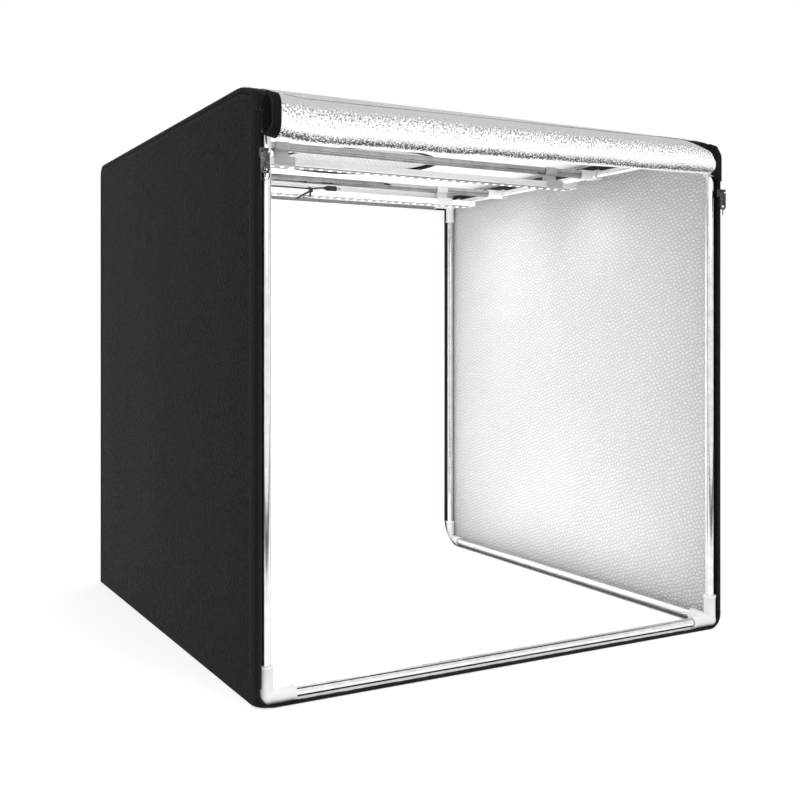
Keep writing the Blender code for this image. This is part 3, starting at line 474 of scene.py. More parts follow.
# Each light bar hangs on two pale clips, which hook round the cross tube and grip the channel's long
# edges. They are moulded in one piece, and turn on the tube to aim the light.
clip_finish = plastic_finish("Pale grey moulded plastic", grey(0.52, 0.006), 0.45, 1500, 0.00018, 0.05)
for place_name in ("front", "rear"):
    for side_name in ("left", "right"):
        node = "light_clip_%s_%s" % (place_name, side_name)
        clip = soft_copy(node, node + "_moulded", 0.0004, clip_finish)
        settle(clip, place_name + "_light", "white_plastic", node)


# The light bars' bodies are hollow channels of extruded aluminium, anodised matt, with fine lines
# along them from the die. A white plastic cap closes each end.
anodised, place = new_finish("Anodised aluminium channel")
die_lines = place.scaled(6, 1400, 1400).noise(1.0, 3.0)
film = place.noise(30.0, 4.0)
place.finish((die_lines * 0.5 + film * 0.5).tint(grey(0.80), grey(0.94)), 0.3 + 0.18 * die_lines,
             die_lines.bump(0.00015, 0.6), {"Metallic": 0.25})
for place_name in ("front", "rear"):
    channel = soft_copy("light_channel_" + place_name, "anodised_channel_" + place_name, 0.0004, anodised)
    settle(channel, place_name + "_light", "channel_aluminium", "light_channel_" + place_name)
    for side_name in ("left", "right"):
        node = "light_cap_%s_%s" % (place_name, side_name)
        cap = soft_copy(node, node + "_moulded", 0.0007, white_finish)
        settle(cap, place_name + "_light", "white_plastic", node)


# A strip of light chips is stuck under each channel: a thin dark circuit tape with one square chip
# after another, each covered by a pale gel, and lit.
STRIP_THICKNESS = 0.0010
CHIP_HEIGHT = 0.0009
CHIP_LENGTH = 0.0055
CHIP_COUNT = 36


def row_of_pieces():
    """Geometry nodes that set one small piece after another along each line of a mesh."""
    group = bpy.data.node_groups.new("row of pieces", "GeometryNodeTree")
    for name, kind in (("Geometry", "Geometry"), ("Pitch", "Float"), ("Size", "Vector"), ("Up", "Vector"),
                       ("Rounded", "Bool"), ("Finish", "Material")):
        group.interface.new_socket(name, in_out="INPUT", socket_type="NodeSocket" + kind)
    group.interface.new_socket("Geometry", in_out="OUTPUT", socket_type="NodeSocketGeometry")

    def add(kind, output, links, **settings):
        made = group.nodes.new(kind)
        for name, value in settings.items():
            setattr(made, name, value)
        for name, value in links.items():
            if isinstance(value, bpy.types.NodeSocket):
                group.links.new(value, made.inputs[name])
            else:
                made.inputs[name].default_value = value
        return made.outputs[output]

    given = group.nodes.new("NodeGroupInput").outputs
    lines = add("GeometryNodeMeshToCurve", "Curve", {"Mesh": given["Geometry"]})
    even = add("GeometryNodeResampleCurve", "Curve", {"Curve": lines, "Length": given["Pitch"]},
               mode="LENGTH")
    spots = add("GeometryNodeCurveToPoints", "Points", {"Curve": even}, mode="EVALUATED")
    along = add("FunctionNodeAlignRotationToVector", "Rotation", {"Vector": spots.node.outputs["Tangent"]},
                axis="X")
    level = add("FunctionNodeAlignRotationToVector", "Rotation", {"Rotation": along, "Vector": given["Up"]},
                axis="Z", pivot_axis="X")
    cube = add("GeometryNodeMeshCube", "Mesh", {"Size": (1, 1, 1)})
    bead = add("GeometryNodeMeshUVSphere", "Mesh", {"Segments": 8, "Rings": 4, "Radius": 0.5})
    bead = add("GeometryNodeSetShadeSmooth", "Geometry", {"Geometry": bead})
    shape = add("GeometryNodeSwitch", "Output", {"Switch": given["Rounded"], "False": cube, "True": bead},
                input_type="GEOMETRY")
    pieces = add("GeometryNodeInstanceOnPoints", "Instances",
                 {"Points": spots, "Instance": shape, "Rotation": level, "Scale": given["Size"]})
    real = add("GeometryNodeRealizeInstances", "Geometry", {"Geometry": pieces})
    done = add("GeometryNodeSetMaterial", "Geometry", {"Geometry": real, "Material": given["Finish"]})
    group.links.new(done, group.nodes.new("NodeGroupOutput").inputs["Geometry"])
    return group


ROW = row_of_pieces()


def lay_rows(name, lines, pitch, size, up, rounded, finish):
    """One mesh of small pieces in rows, each line a list of points."""
    solid = bmesh.new()
    for line in lines:
        made = [solid.verts.new(point) for point in line]
        for a, b in zip(made, made[1:]):
            solid.edges.new((a, b))
    rows = new_piece(name, solid)
    modifier = rows.modifiers.new("rows", "NODES")
    modifier.node_group = ROW
    values = {"Pitch": pitch, "Size": size, "Up": up, "Rounded": rounded, "Finish": finish}
    for item in ROW.interface.items_tree:
        if item.in_out == "INPUT" and item.name in values:
            modifier[item.identifier] = values[item.name]
    return baked(rows, crease=60)


circuit_finish = plastic_finish("Circuit tape", grey(0.22, 0.01), 0.4, 900, 0.0001, 0.25)
chip_finish, place = new_finish("Lit light chip")
gel = place.noise(500.0)
place.finish(gel.tint((0.82, 0.80, 0.70, 1), (0.88, 0.87, 0.80, 1)), 0.25 + 0.2 * gel,
             more={"Emission Color": gel.tint((1.0, 0.99, 0.96, 1), (1.0, 1.0, 0.99, 1)),
                   "Emission Strength": 1.0})
for place_name in ("front", "rear"):
    strip_low, strip_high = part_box("light_strip_" + place_name)
    middle = (strip_low + strip_high) / 2
    board = bmesh.new()
    bmesh.ops.create_cube(board, size=1.0)
    board.transform(Matrix.Translation((middle.x, middle.y, strip_high.z - STRIP_THICKNESS / 2))
                    @ Matrix.Diagonal((*(strip_high - strip_low).xy, STRIP_THICKNESS, 1)))
    settle(new_piece("circuit_tape_" + place_name, board, circuit_finish), place_name + "_light",
           "light_strip", "light_strip_" + place_name)
    pitch = (strip_high.x - strip_low.x) / CHIP_COUNT
    ends = (strip_low.x + pitch / 2, strip_high.x - pitch / 2)
    line = [(x, middle.y, strip_low.z + CHIP_HEIGHT / 2) for x in ends]
    chips = lay_rows("light_chips_" + place_name, [line], pitch * 0.9999,
                     (CHIP_LENGTH, CHIP_LENGTH, CHIP_HEIGHT), (0, 0, 1), False, chip_finish)
    settle(chips, place_name + "_light", "light_strip")


# The cover's five panels are leatherette outside and pebbled silver lining inside, laminated to a
# thin board and sewn at the edges, which makes a raised welt with a groove and two lines of stitches.
PANEL_THICKNESS = 0.003
PANEL_PILLOW = 0.0008
REAR_EDGE_RADIUS = 0.020
FRONT_DROOP_RUN = 0.060
FRONT_DROOP = 0.0135
FRONT_FALL = 0.23
WELT = [(0, -0.0017), (0.0005, -0.0007), (0.0013, -0.0001), (0.0030, 0.0003), (0.0050, 0.0004),
        (0.0068, 0.0001), (0.0079, -0.0008), (0.0090, 0.0), (0.0110, 0.0001), (0.0200, 0.0)]
EDGE_STEPS = [0, 0.0005, 0.0013, 0.0030, 0.0050, 0.0068, 0.0074, 0.0079, 0.0084, 0.0090, 0.0110, 0.0160]

left_low, left_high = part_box("wall_left")
WALL_OUTER_X = -left_low.x
WALL_INNER_X = -left_high.x
WALL_FRONT_Y = left_low.y
REAR_Y = left_high.y
CUBE_HEIGHT = left_high.z
FRONT_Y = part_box("zip_tape_bottom")[0].y
tape_left_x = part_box("zip_tape_left")[0].x
HALF_WIDTH = -tape_left_x


def leather_finish(name, tone, long_axis):
    """Leatherette: embossed creases, longer along one axis, over a fine pore grain. Its colour is darker in
    the creases: painted shade.
    """
    material, place = new_finish(name)
    stretch = [1.0, 1.0, 1.0]
    stretch[long_axis] = 0.24
    along = place.scaled(*stretch)
    warp = along.noise(130.0, output="Color")
    shift = warp.node("VectorMath", {0: warp, "Scale": 0.006}, operation="SCALE")
    bent = along.node("VectorMath", {0: along, 1: shift}, operation="ADD")
    crease = bent.node("TexVoronoi", {"Vector": bent, "Scale": 330.0}, feature="DISTANCE_TO_EDGE")
    height = crease.ease(0.0, 0.22) + 0.25 * place.noise(1500.0) + 0.6 * along.noise(240.0)
    hills = crease.ease(0.0, 0.3)
    tone_drift = place.noise(7.0, 3.0)
    # The colour darkens into the creases: painted shade. The slow drift in tone is the cloth's own.
    place.finish((hills * 0.6 + tone_drift * 0.4).tint(grey(tone * 0.5), grey(tone * 1.25)),
                 0.62 - 0.1 * hills, height.bump(0.0006, 0.8), {"Specular IOR Level": 0.042})
    return material


def lining_finish(name, bright, dark, relief):
    """Silver lining: pebbles pressed into a metallised film. Its colour is darker in the valleys between
    them, as painted shade, and drifts slowly in tone.
    """
    material, place = new_finish(name, "UVMap", "UV", uv_map="cloth")
    rows = place.node("Mapping", {"Vector": place, "Scale": (0.72, 1.0, 1.0), "Rotation": (0, 0, 0.45)})
    cell = rows.node("TexVoronoi", {"Vector": rows, "Scale": 160.0, "Randomness": 0.62},
                     feature="DISTANCE_TO_EDGE", voronoi_dimensions="2D")
    dome = cell.ease(0.02, 0.34)
    # Darker valleys between the pebbles: painted shade. The slow noise is the film's own tone.
    painted_valley_shade_and_drift = dome * 0.7 + place.noise(6.0, 3.0) * 0.4 - 0.05
    place.finish(painted_valley_shade_and_drift.tint(dark, bright), 0.42 + 0.18 * (1 - dome),
                 (dome + 0.3 * place.noise(350.0)).bump(0.0011, relief), {"Metallic": 0.12})
    return material


leather_side = leather_finish("Black leatherette, side", 0.0045, 1)
leather_top = leather_finish("Black leatherette, top", 0.0045, 1)
lining = lining_finish("Pebbled silver lining", grey(0.60), grey(0.40), 0.75)
# The roof's lining is the same cloth as the walls' lining. Its near-white colours are painted light from the
# bars, and it has less relief.
painted_lit_roof_lining = lining_finish("Silver lining painted lit, on the roof", grey(0.96), grey(0.93), 0.2)


def slab(name, grid, *finishes):
    """A closed panel from rows of spots. A spot is an outer and an inner point, and a place in the
    flat cloth."""
    solid = bmesh.new()
    uv = solid.loops.layers.uv.new("cloth")
    rows, columns = len(grid), len(grid[0])
    places = {}
    outer, inner = [[[solid.verts.new(spot[k]) for spot in row] for row in grid] for k in (0, 1)]
    for mark, made in enumerate((outer, inner)):
        for i in range(rows):
            for j in range(columns):
                places[made[i][j]] = grid[i][j][2]
                if i and j:
                    corners = (made[i - 1][j - 1], made[i - 1][j], made[i][j], made[i][j - 1])
                    solid.faces.new(corners).material_index = mark
    rim = [(0, j) for j in range(columns)] + [(i, columns - 1) for i in range(1, rows)]
    rim += [(rows - 1, j) for j in range(columns - 2, -1, -1)] + [(i, 0) for i in range(rows - 2, 0, -1)]
    for (a, b), (c, d) in zip(rim, rim[1:] + rim[:1]):
        solid.faces.new((outer[a][b], outer[c][d], inner[c][d], inner[a][b]))
    bmesh.ops.recalc_face_normals(solid, faces=solid.faces)
    for face in solid.faces:
        for loop in face.loops:
            loop[uv].uv = places[loop.vert]
    return new_piece(name, solid, *finishes, crease=50)


def repaint(piece, number, chosen):
    """Give the chosen faces another of the piece's finishes."""
    for polygon in piece.data.polygons:
        if chosen(polygon):
            polygon.material_index = number


def droop_at(y):
    """How far the roof has come down at y: a curve to the walls' front, then the header's slope."""
    run = min(max(0, WALL_FRONT_Y + FRONT_DROOP_RUN - y), FRONT_DROOP_RUN)
    return FRONT_DROOP * (run / FRONT_DROOP_RUN) ** 2 + FRONT_FALL * max(0, WALL_FRONT_Y - y)


def roof_height(y):
    """The top of the cover at y, drooped in front and rounded at the rear."""
    over = max(0, y - (REAR_Y - REAR_EDGE_RADIUS))
    return CUBE_HEIGHT - droop_at(y) - REAR_EDGE_RADIUS + sqrt(max(0, REAR_EDGE_RADIUS ** 2 - over ** 2))


def steps_between(low, high, count, fine_low, fine_high):
    """Places from low to high: even, and finer at the ends that have a welt."""
    inside_low = low + (EDGE_STEPS[-1] if fine_low else 0)
    inside_high = high - (EDGE_STEPS[-1] if fine_high else 0)
    places = list(np.linspace(inside_low, inside_high, count))
    if fine_low:
        places = [low + step for step in EDGE_STEPS[:-1]] + places
    if fine_high:
        places += [high - step for step in reversed(EDGE_STEPS[:-1])]
    return places


def welt_at(distance):
    return float(np.interp(distance, [w[0] for w in WELT], [w[1] for w in WELT]))


def ripple_at(u, v, seed):
    """Slow hollows and swells of a panel that is held flat only at its edges."""
    edge = min(1, 14 * u * (1 - u), 14 * v * (1 - v))
    return edge * noise.noise(Vector((u * 5 + seed, v * 3, seed)))


# Dark teal strips on the lining near some seams: painted shade of the gaps there, with a faint weave in it.
painted_seam_shade, place = new_finish("Dark strips painted at seams as shade")
threads = place.node("TexWave", {"Vector": place, "Scale": 380.0, "Distortion": 1.0}, bands_direction="Z")
worn = place.noise(40.0, 4.0)
place.finish((threads * 0.5 + worn * 0.5).tint((0.010, 0.020, 0.020, 1), (0.018, 0.036, 0.036, 1)), 0.8,
             threads.bump(0.0002))
WALL_SEAM_TOP = 0.008
WALL_SEAM_SHADE = 0.0285
WALL_ROWS = [(share, 0) for share in np.linspace(0, 1, 64)] + [(None, step) for step in EDGE_STEPS[-2::-1]]
WALL_COLUMNS = steps_between(WALL_FRONT_Y, REAR_Y, 70, False, True)


def wall_spot(row, y, side):
    """A spot on a side wall. A row is a share of its height, or a way down from the top seam."""
    share, below = row
    top = roof_height(y)
    z = top - below if share is None else (top - EDGE_STEPS[-1]) * share
    rear_reach = y - (REAR_Y - REAR_EDGE_RADIUS)
    up_reach = z - (CUBE_HEIGHT - REAR_EDGE_RADIUS)
    if rear_reach > 0 and up_reach > 0:
        edge = REAR_EDGE_RADIUS - sqrt(rear_reach ** 2 + up_reach ** 2)
    else:
        edge = min(top - z, REAR_Y - y)
    u = (y - WALL_FRONT_Y) / (REAR_Y - WALL_FRONT_Y)
    v = z / CUBE_HEIGHT
    swell = PANEL_PILLOW * (sin(pi * u) * sin(pi * v) * 0.6 + 0.7 * ripple_at(u, v, 3 + side))
    return ((side * (WALL_OUTER_X + swell + welt_at(max(edge, 0))), y, z),
            (side * (WALL_INNER_X + swell * 1.5 * min(1, 12 * edge)), y, z), (y, z))


def in_wall_seam(polygon):
    below = roof_height(polygon.center.y) - polygon.center.z
    return polygon.material_index == 1 and WALL_SEAM_TOP < below < WALL_SEAM_SHADE


for side_name, side in (("left", -1), ("right", 1)):
    grid = [[wall_spot(row, y, side) for y in WALL_COLUMNS] for row in WALL_ROWS]
    wall = slab("side_panel_" + side_name, grid, leather_side, lining, painted_seam_shade)
    repaint(wall, 2, in_wall_seam)
    settle(wall, "root", "cover_leatherette", "wall_" + side_name)


# The roof panel curves down over the front edge and round the rear one. A round window is cut in it
# for a camera that looks straight down, and its edge is bound with tape.
WINDOW_RADIUS = 0.141
WINDOW_BACK = 0.515
WINDOW_SIDES = 96

roof_low, roof_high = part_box("roof")
flap_low, flap_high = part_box("roof_window_flap")
WINDOW_Y = FRONT_Y + WINDOW_BACK
section = []
for y in np.linspace(WALL_FRONT_Y, WALL_FRONT_Y + FRONT_DROOP_RUN, 14):
    slope = 2 * FRONT_DROOP * (WALL_FRONT_Y + FRONT_DROOP_RUN - y) / FRONT_DROOP_RUN ** 2
    section.append((y, CUBE_HEIGHT - droop_at(y), *Vector((-slope, 1)).normalized()))
for y in np.linspace(WALL_FRONT_Y + FRONT_DROOP_RUN, REAR_Y - REAR_EDGE_RADIUS, 62)[1:-1]:
    section.append((y, CUBE_HEIGHT, 0, 1))
for i in range(15):
    angle = pi / 2 * (1 - i / 14)
    section.append((REAR_Y - REAR_EDGE_RADIUS * (1 - cos(angle)),
                    CUBE_HEIGHT - REAR_EDGE_RADIUS * (1 - sin(angle)), cos(angle), sin(angle)))
travelled = [0]
for (y, z, *_), (next_y, next_z, *_) in zip(section, section[1:]):
    travelled.append(travelled[-1] + sqrt((next_y - y) ** 2 + (next_z - z) ** 2))


def roof_spot(k, x):
    """A spot on the roof, k steps along its section from the front seam."""
    y, z, normal_y, normal_z = section[k]
    u = (x - roof_low.x) / (roof_high.x - roof_low.x)
    v = k / (len(section) - 1)
    swell = PANEL_PILLOW * (0.7 * ripple_at(u, v, 9) - 0.9 * sin(pi * u) * sin(pi * v))
    lift = swell + welt_at(min(x - roof_low.x, roof_high.x - x))
    depth = swell - PANEL_THICKNESS
    return ((x, y + normal_y * lift, z + normal_z * lift), (x, y + normal_y * depth, z + normal_z * depth),
            (x, travelled[k]))


columns = steps_between(roof_low.x, roof_high.x, 66, True, True)
roof = slab("roof_panel", [[roof_spot(k, x) for x in columns] for k in range(len(section))],
            leather_top, painted_lit_roof_lining)
window = turned([(CUBE_HEIGHT - 0.02, WINDOW_RADIUS), (CUBE_HEIGHT + 0.02, WINDOW_RADIUS)], "Z",
                (0, WINDOW_Y, 0), sides=WINDOW_SIDES)
combine(roof, window, "DIFFERENCE")
settle(roof, "root", "cover_leatherette", "roof")


# A folded strip of thin black cloth is sewn round the window's cut edge, on both faces of the roof. It
# holds the leatherette, the board and the lining together there.
BINDING_REACH = 0.011

top = flap_low.z - 0.0001
foot = CUBE_HEIGHT - PANEL_THICKNESS - 0.0011
rim = WINDOW_RADIUS + BINDING_REACH
edge = WINDOW_RADIUS - 0.0006
stations = [(top, rim), (top, WINDOW_RADIUS + 0.001), (top - 0.0004, edge), (foot + 0.0004, edge),
            (foot, WINDOW_RADIUS + 0.001), (foot, rim), (foot + 0.0004, rim),
            (foot + 0.0005, WINDOW_RADIUS + 0.0012), (top - 0.0005, WINDOW_RADIUS + 0.0012),
            (top - 0.0003, rim)]
binding = turned(stations, "Z", (0, WINDOW_Y, 0), sides=WINDOW_SIDES, caps=False)
window_binding = new_piece("window_binding", binding, leather_top)
settle(window_binding, "root", "zip_tape")


# The rear wall and the floor are flat panels of the same laminate, sewn in along all their edges.
# Dark teal strips are painted on the lining along the rear wall's two upright seams, as along the side walls'
# top seams: painted shade.
SEAM_SHADE = 0.045
rear_low, rear_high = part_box("wall_rear")


def rear_spot(z, x):
    """A spot on the rear wall."""
    edge = min(x - rear_low.x, rear_high.x - x, rear_high.z - z + 0.002)
    u = (x - rear_low.x) / (rear_high.x - rear_low.x)
    v = (z - rear_low.z) / (rear_high.z - rear_low.z)
    swell = PANEL_PILLOW * (0.8 * ripple_at(u, v, 15) - 0.5 * sin(pi * u) * sin(pi * v))
    return ((x, rear_high.y + swell + welt_at(edge), z),
            (x, rear_low.y + swell * min(1, 12 * edge), z), (x, z))


columns = steps_between(rear_low.x, rear_high.x, 60, True, True)
grid = [[rear_spot(z, x) for x in columns] for z in steps_between(rear_low.z, rear_high.z, 60, False, True)]
leather_rear = leather_finish("Black leatherette, rear", 0.0045, 0)
rear_panel = slab("rear_panel", grid, leather_rear, lining, painted_seam_shade)
repaint(rear_panel, 2, lambda face: face.material_index == 1
        and abs(face.center.x) > rear_high.x - SEAM_SHADE)
settle(rear_panel, "root", "cover_leatherette", "wall_rear")

floor_low, floor_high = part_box("floor")
columns = np.linspace(floor_low.x, floor_high.x, 50)
grid = [[((x, y, floor_low.z), (x, y, floor_high.z), (x, y)) for x in columns]
        for y in np.linspace(floor_low.y, floor_high.y, 50)]
floor_panel = slab("floor_panel", grid, leather_top, lining)
settle(floor_panel, "root", "cover_leatherette", "floor")


# Three zip tapes bound the opening's sides and foot. Each is woven black tape, folded and sewn round
# the panel's edge under a lighter binding strip, with the teeth of one half of the zip along its front.
TAPE_THICKNESS = 0.0050
HEM_WIDTH = 0.008
HEM_THICKNESS = 0.0012
TEETH_DEPTH = 0.006
THIN_TAPE = 0.0030
TEETH_PITCH = 0.0026
SIDE_TEETH_SIZE = (0.0026, 0.0056)
FOOT_TEETH_SIZE = (0.0019, 0.0042)
SIDE_TEETH_INSET = 0.0034
FOOT_TEETH_INSET = 0.0022
FOOT_TEETH_RADIUS = 0.0225
TAPE_WAVER = 0.0002

tape_finish, place = new_finish("Woven black tape")
thread_sockets = {"Vector": place, "Scale": 420.0, "Distortion": 0.6, "Detail": 1.0}
warp_threads, weft_threads = [place.node("TexWave", thread_sockets, bands_direction=axis) for axis in "XZ"]
fuzz = place.noise(900.0, 3.0)
weave = warp_threads * 0.5 + weft_threads * 0.5
place.finish((weave * 0.7 + fuzz * 0.3).tint(grey(0.003), grey(0.012)), 0.78,
             (weave + 0.4 * fuzz).bump(0.0002), {"Specular IOR Level": 0.08})
binding_and_edge_highlight = leather_finish("Black binding strip and painted edge highlight", 0.014, 2)
teeth_finish, place = new_finish("Black nylon zip teeth")
drawn = place.noise(700.0)
place.finish(drawn.tint(grey(0.006), grey(0.030)), 0.45 + 0.2 * drawn, drawn.bump(0.0001),
             {"Specular IOR Level": 0.15})

hem_y = WALL_FRONT_Y + HEM_WIDTH
teeth_end = FRONT_Y + TEETH_DEPTH
TAPE_OUTLINE = [
    (0.0002, hem_y), (0, hem_y - 0.0006), (0, WALL_FRONT_Y + 0.0010), (0.0004, WALL_FRONT_Y - 0.0002),
    (0, WALL_FRONT_Y - 0.0016), (0, teeth_end + 0.0012), (0.0008, teeth_end), (0.0010, FRONT_Y + 0.0012),
    (0.0010 + THIN_TAPE, FRONT_Y + 0.0012), (0.0012 + THIN_TAPE, teeth_end),
    (TAPE_THICKNESS, teeth_end + 0.0012), (TAPE_THICKNESS, WALL_FRONT_Y - 0.0004),
    (HEM_THICKNESS, WALL_FRONT_Y - 0.0004), (HEM_THICKNESS, hem_y),
]
tape_low, tape_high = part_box("zip_tape_left")
for side_name, side in (("left", -1), ("right", 1)):
    rings = []
    for z in np.linspace(tape_low.z, tape_high.z, 90):
        rings.append([])
        for inset, y in TAPE_OUTLINE:
            waver = TAPE_WAVER * abs(noise.noise(Vector((z * 30, y * 60, side))))
            rings[-1].append((side * (HALF_WIDTH - inset - waver), y, z))
    tape = new_piece("side_tape_" + side_name, skin(rings), tape_finish, binding_and_edge_highlight)
    repaint(tape, 1, lambda face: face.center.y > WALL_FRONT_Y - 0.0012)
    settle(tape, "root", "zip_tape", "zip_tape_" + side_name)


def arch_points(y, top, foot, radius, inset, flip=1):
    """A line over the opening: up the left side, round the corners and down the right. A flip of -1
    turns it upside down."""
    reach = HALF_WIDTH - radius
    bend = radius - inset
    points = [(-HALF_WIDTH + inset, foot)]
    for centre, start in ((-reach, pi), (reach, pi / 2)):
        for angle in [start - pi / 2 * i / ARCH_STEPS for i in range(ARCH_STEPS + 1)]:
            points.append((centre + bend * cos(angle), top - radius + bend * sin(angle)))
        if centre < 0:
            points += [(x, top - inset) for x in np.linspace(-reach, reach, 60)[1:-1]]
    return [(x, y, flip * z) for x, z in points + [(HALF_WIDTH - inset, foot)]]


def arch_band(name, stations, flip, *finishes):
    """A closed band over or under the opening, from stations of y, top, foot, radius and two insets."""
    grid = []
    for y, top, foot, radius, *insets in stations:
        outer, inner = [arch_points(y, top, foot, radius, inset, flip) for inset in insets]
        grid.append([(outer[k], inner[k], (k * 0.01, y)) for k in range(len(outer))])
    return slab(name, grid, *finishes)


ARCH_STEPS = 10
BOTTOM_CORNER_RADIUS = 0.026
BOTTOM_CORNER_REAR_RADIUS = 0.0035
LINING_EDGE = (-0.3775, -0.3770)
seam_y = WALL_FRONT_Y - 0.0003
bottom_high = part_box("zip_tape_bottom")[1]
stations = []
for y, outside, inside in ((FRONT_Y + 0.0012, 0.0010, 0.0019), (FRONT_Y + TEETH_DEPTH, 0.0009, 0.0020),
                           (FRONT_Y + TEETH_DEPTH + 0.0012, 0.0001, 0.0029), (-0.380, 0, 0.003),
                           (-0.376, 0, 0.003), (-0.371, 0, 0.003), (seam_y - 0.0008, 0, 0.003),
                           (seam_y, 0.0003, 0.0028)):
    front_share = (1 - (y - FRONT_Y) / (seam_y - FRONT_Y)) ** 2
    radius = BOTTOM_CORNER_REAR_RADIUS + (BOTTOM_CORNER_RADIUS - BOTTOM_CORNER_REAR_RADIUS) * front_share
    stations.append((y, 0, -bottom_high.z, radius, outside, inside))
foot_lining, place = new_finish("Lining's edge on the foot tape")
ragged = place.noise(45.0, 5.0)
silver = (place.node("SeparateXYZ", {"Vector": place}, output="Y") + 0.006 * ragged).ease(*LINING_EDGE)
place.finish(silver.tint(grey(0.008), grey(0.85)), 0.45 + 0.2 * ragged, ragged.bump(0.0008, 0.6),
             {"Specular IOR Level": 0.1})
foot_tape = arch_band("foot_tape", stations, -1, tape_finish, foot_lining)
settle(foot_tape, "root", "zip_tape", "zip_tape_bottom")


# The header joins the rolled door to the roof. It is a band of the black tape cloth that bends down
# round the two top corners of the opening, over the frame's front corner pieces.
HEADER_CORNER_RADIUS = 0.024
HEADER_CORNER_REAR_RADIUS = 0.006
HEADER_THICKNESS = 0.002
HEADER_EDGE = 0.0004
header_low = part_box("door_header")[0]
stations = []
for y in np.linspace(FRONT_Y, seam_y, 10):
    share = (y - FRONT_Y) / (seam_y - FRONT_Y)
    radius = HEADER_CORNER_REAR_RADIUS + (HEADER_CORNER_RADIUS - HEADER_CORNER_REAR_RADIUS) * (1 - share) ** 2
    trim = HEADER_EDGE * max(0, 1 - 8 * min(share, 1 - share))
    stations.append((y, CUBE_HEIGHT - droop_at(y), header_low.z, radius, trim, HEADER_THICKNESS - trim))
header = arch_band("header_band", stations, 1, tape_finish, tape_finish)
settle(header, "root", "zip_tape", "door_header")


# Two lines of black thread run beside every welted seam, and one along each wall's binding strip. The
# teeth of the zips stand along the front edges of the three tapes.
STITCH_PITCH = 0.0042
STITCH_SIZE = (0.0032, 0.0006, 0.0005)
STITCH_LINES = (0.0105, 0.0135)
HEM_LINE = 0.0022

thread = plastic_finish("Black sewing thread", grey(0.006), 0.6, 4000, 0.0001, 0.3)


def stitch(name, lines, up, body="root"):
    """Stitches along lines on the cover, where its face looks up, out or back."""
    settle(lay_rows(name, lines, STITCH_PITCH, STITCH_SIZE, up, True, thread), body, "cover_leatherette")


for side_name, side in (("left", -1), ("right", 1)):
    face_x = side * (WALL_OUTER_X + 0.0001)
    lines = []
    for inset in STITCH_LINES:
        lines.append([(face_x, y, roof_height(y) - inset)
                      for y in np.linspace(hem_y + 0.002, REAR_Y - REAR_EDGE_RADIUS, 40)])
        lines.append([(face_x, REAR_Y - inset, z) for z in (0.004, CUBE_HEIGHT - REAR_EDGE_RADIUS)])
    lines.append([(face_x, hem_y + HEM_LINE, z) for z in (0.004, CUBE_HEIGHT - 0.016)])
    stitch("side_stitches_" + side_name, lines, (side, 0, 0))
lines = []
for inset in STITCH_LINES:
    for x in (roof_low.x + inset, roof_high.x - inset):
        lines.append([(x, y, CUBE_HEIGHT - droop_at(y) + 0.0002)
                      for y in np.linspace(WALL_FRONT_Y + 0.004, REAR_Y - REAR_EDGE_RADIUS, 40)])
stitch("roof_stitches", lines, (0, 0, 1))
lines = []
for inset in STITCH_LINES:
    lines.append([(x, rear_high.y + 0.0001, rear_high.z - inset)
                  for x in (rear_low.x + 0.02, rear_high.x - 0.02)])
    for x in (rear_low.x + inset, rear_high.x - inset):
        lines.append([(x, rear_high.y + 0.0001, z) for z in (0.01, rear_high.z - 0.02)])
stitch("rear_stitches", lines, (0, 1, 0))

teeth_y = FRONT_Y + TEETH_DEPTH / 2
side_lines = [[(side * (HALF_WIDTH - SIDE_TEETH_INSET), teeth_y, z)
               for z in (tape_low.z + 0.002, tape_high.z - 0.001)] for side in (-1, 1)]
foot_lines = [arch_points(teeth_y, 0, -bottom_high.z, FOOT_TEETH_RADIUS, FOOT_TEETH_INSET, -1)]
for name, lines, (width, height) in (("side_zip_teeth", side_lines, SIDE_TEETH_SIZE),
                                     ("foot_zip_teeth", foot_lines, FOOT_TEETH_SIZE)):
    settle(lay_rows(name, lines, TEETH_PITCH, (width, height, TEETH_DEPTH), (0, -1, 0), True, teeth_finish),
           "root", "zip_tape")


# The door is rolled up with its silver side out and hangs in front of the header. Its two side edges
# carry the other half of the zip on black tape, which shows as a coil of folds at the left end.
ROLL_STRAIGHT = 0.009
ROLL_PITCH = 0.0027
ROLL_HALF_TURNS = 13
ROLL_STEPS = 18
ROLL_SHEET = 0.0021
ROLL_TAPE = 0.0125
ROLL_SAG = 0.0062
ROLL_SLOPE = 0.0105
ROLL_TAPER = 0.14
ROLL_DEPTH = 0.042
ROLL_GAP = 0.0003
ROLL_HALF_HEIGHT = 0.03
DRAWN_LENGTH = 0.07
DRAWN_DROP = 0.011
FOOT_TUCK = 0.008
TOP_TUCK = 0.018

roll_low, roll_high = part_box("door_roll")
roll_radius = (ROLL_DEPTH + ROLL_PITCH / 2) / 2
roll_y = FRONT_Y - ROLL_GAP - roll_radius
roll_z = (roll_low.z + roll_high.z) / 2
roll_silver, cloth = new_finish("Crinkled silver door", "UVMap", "UV", uv_map="cloth")
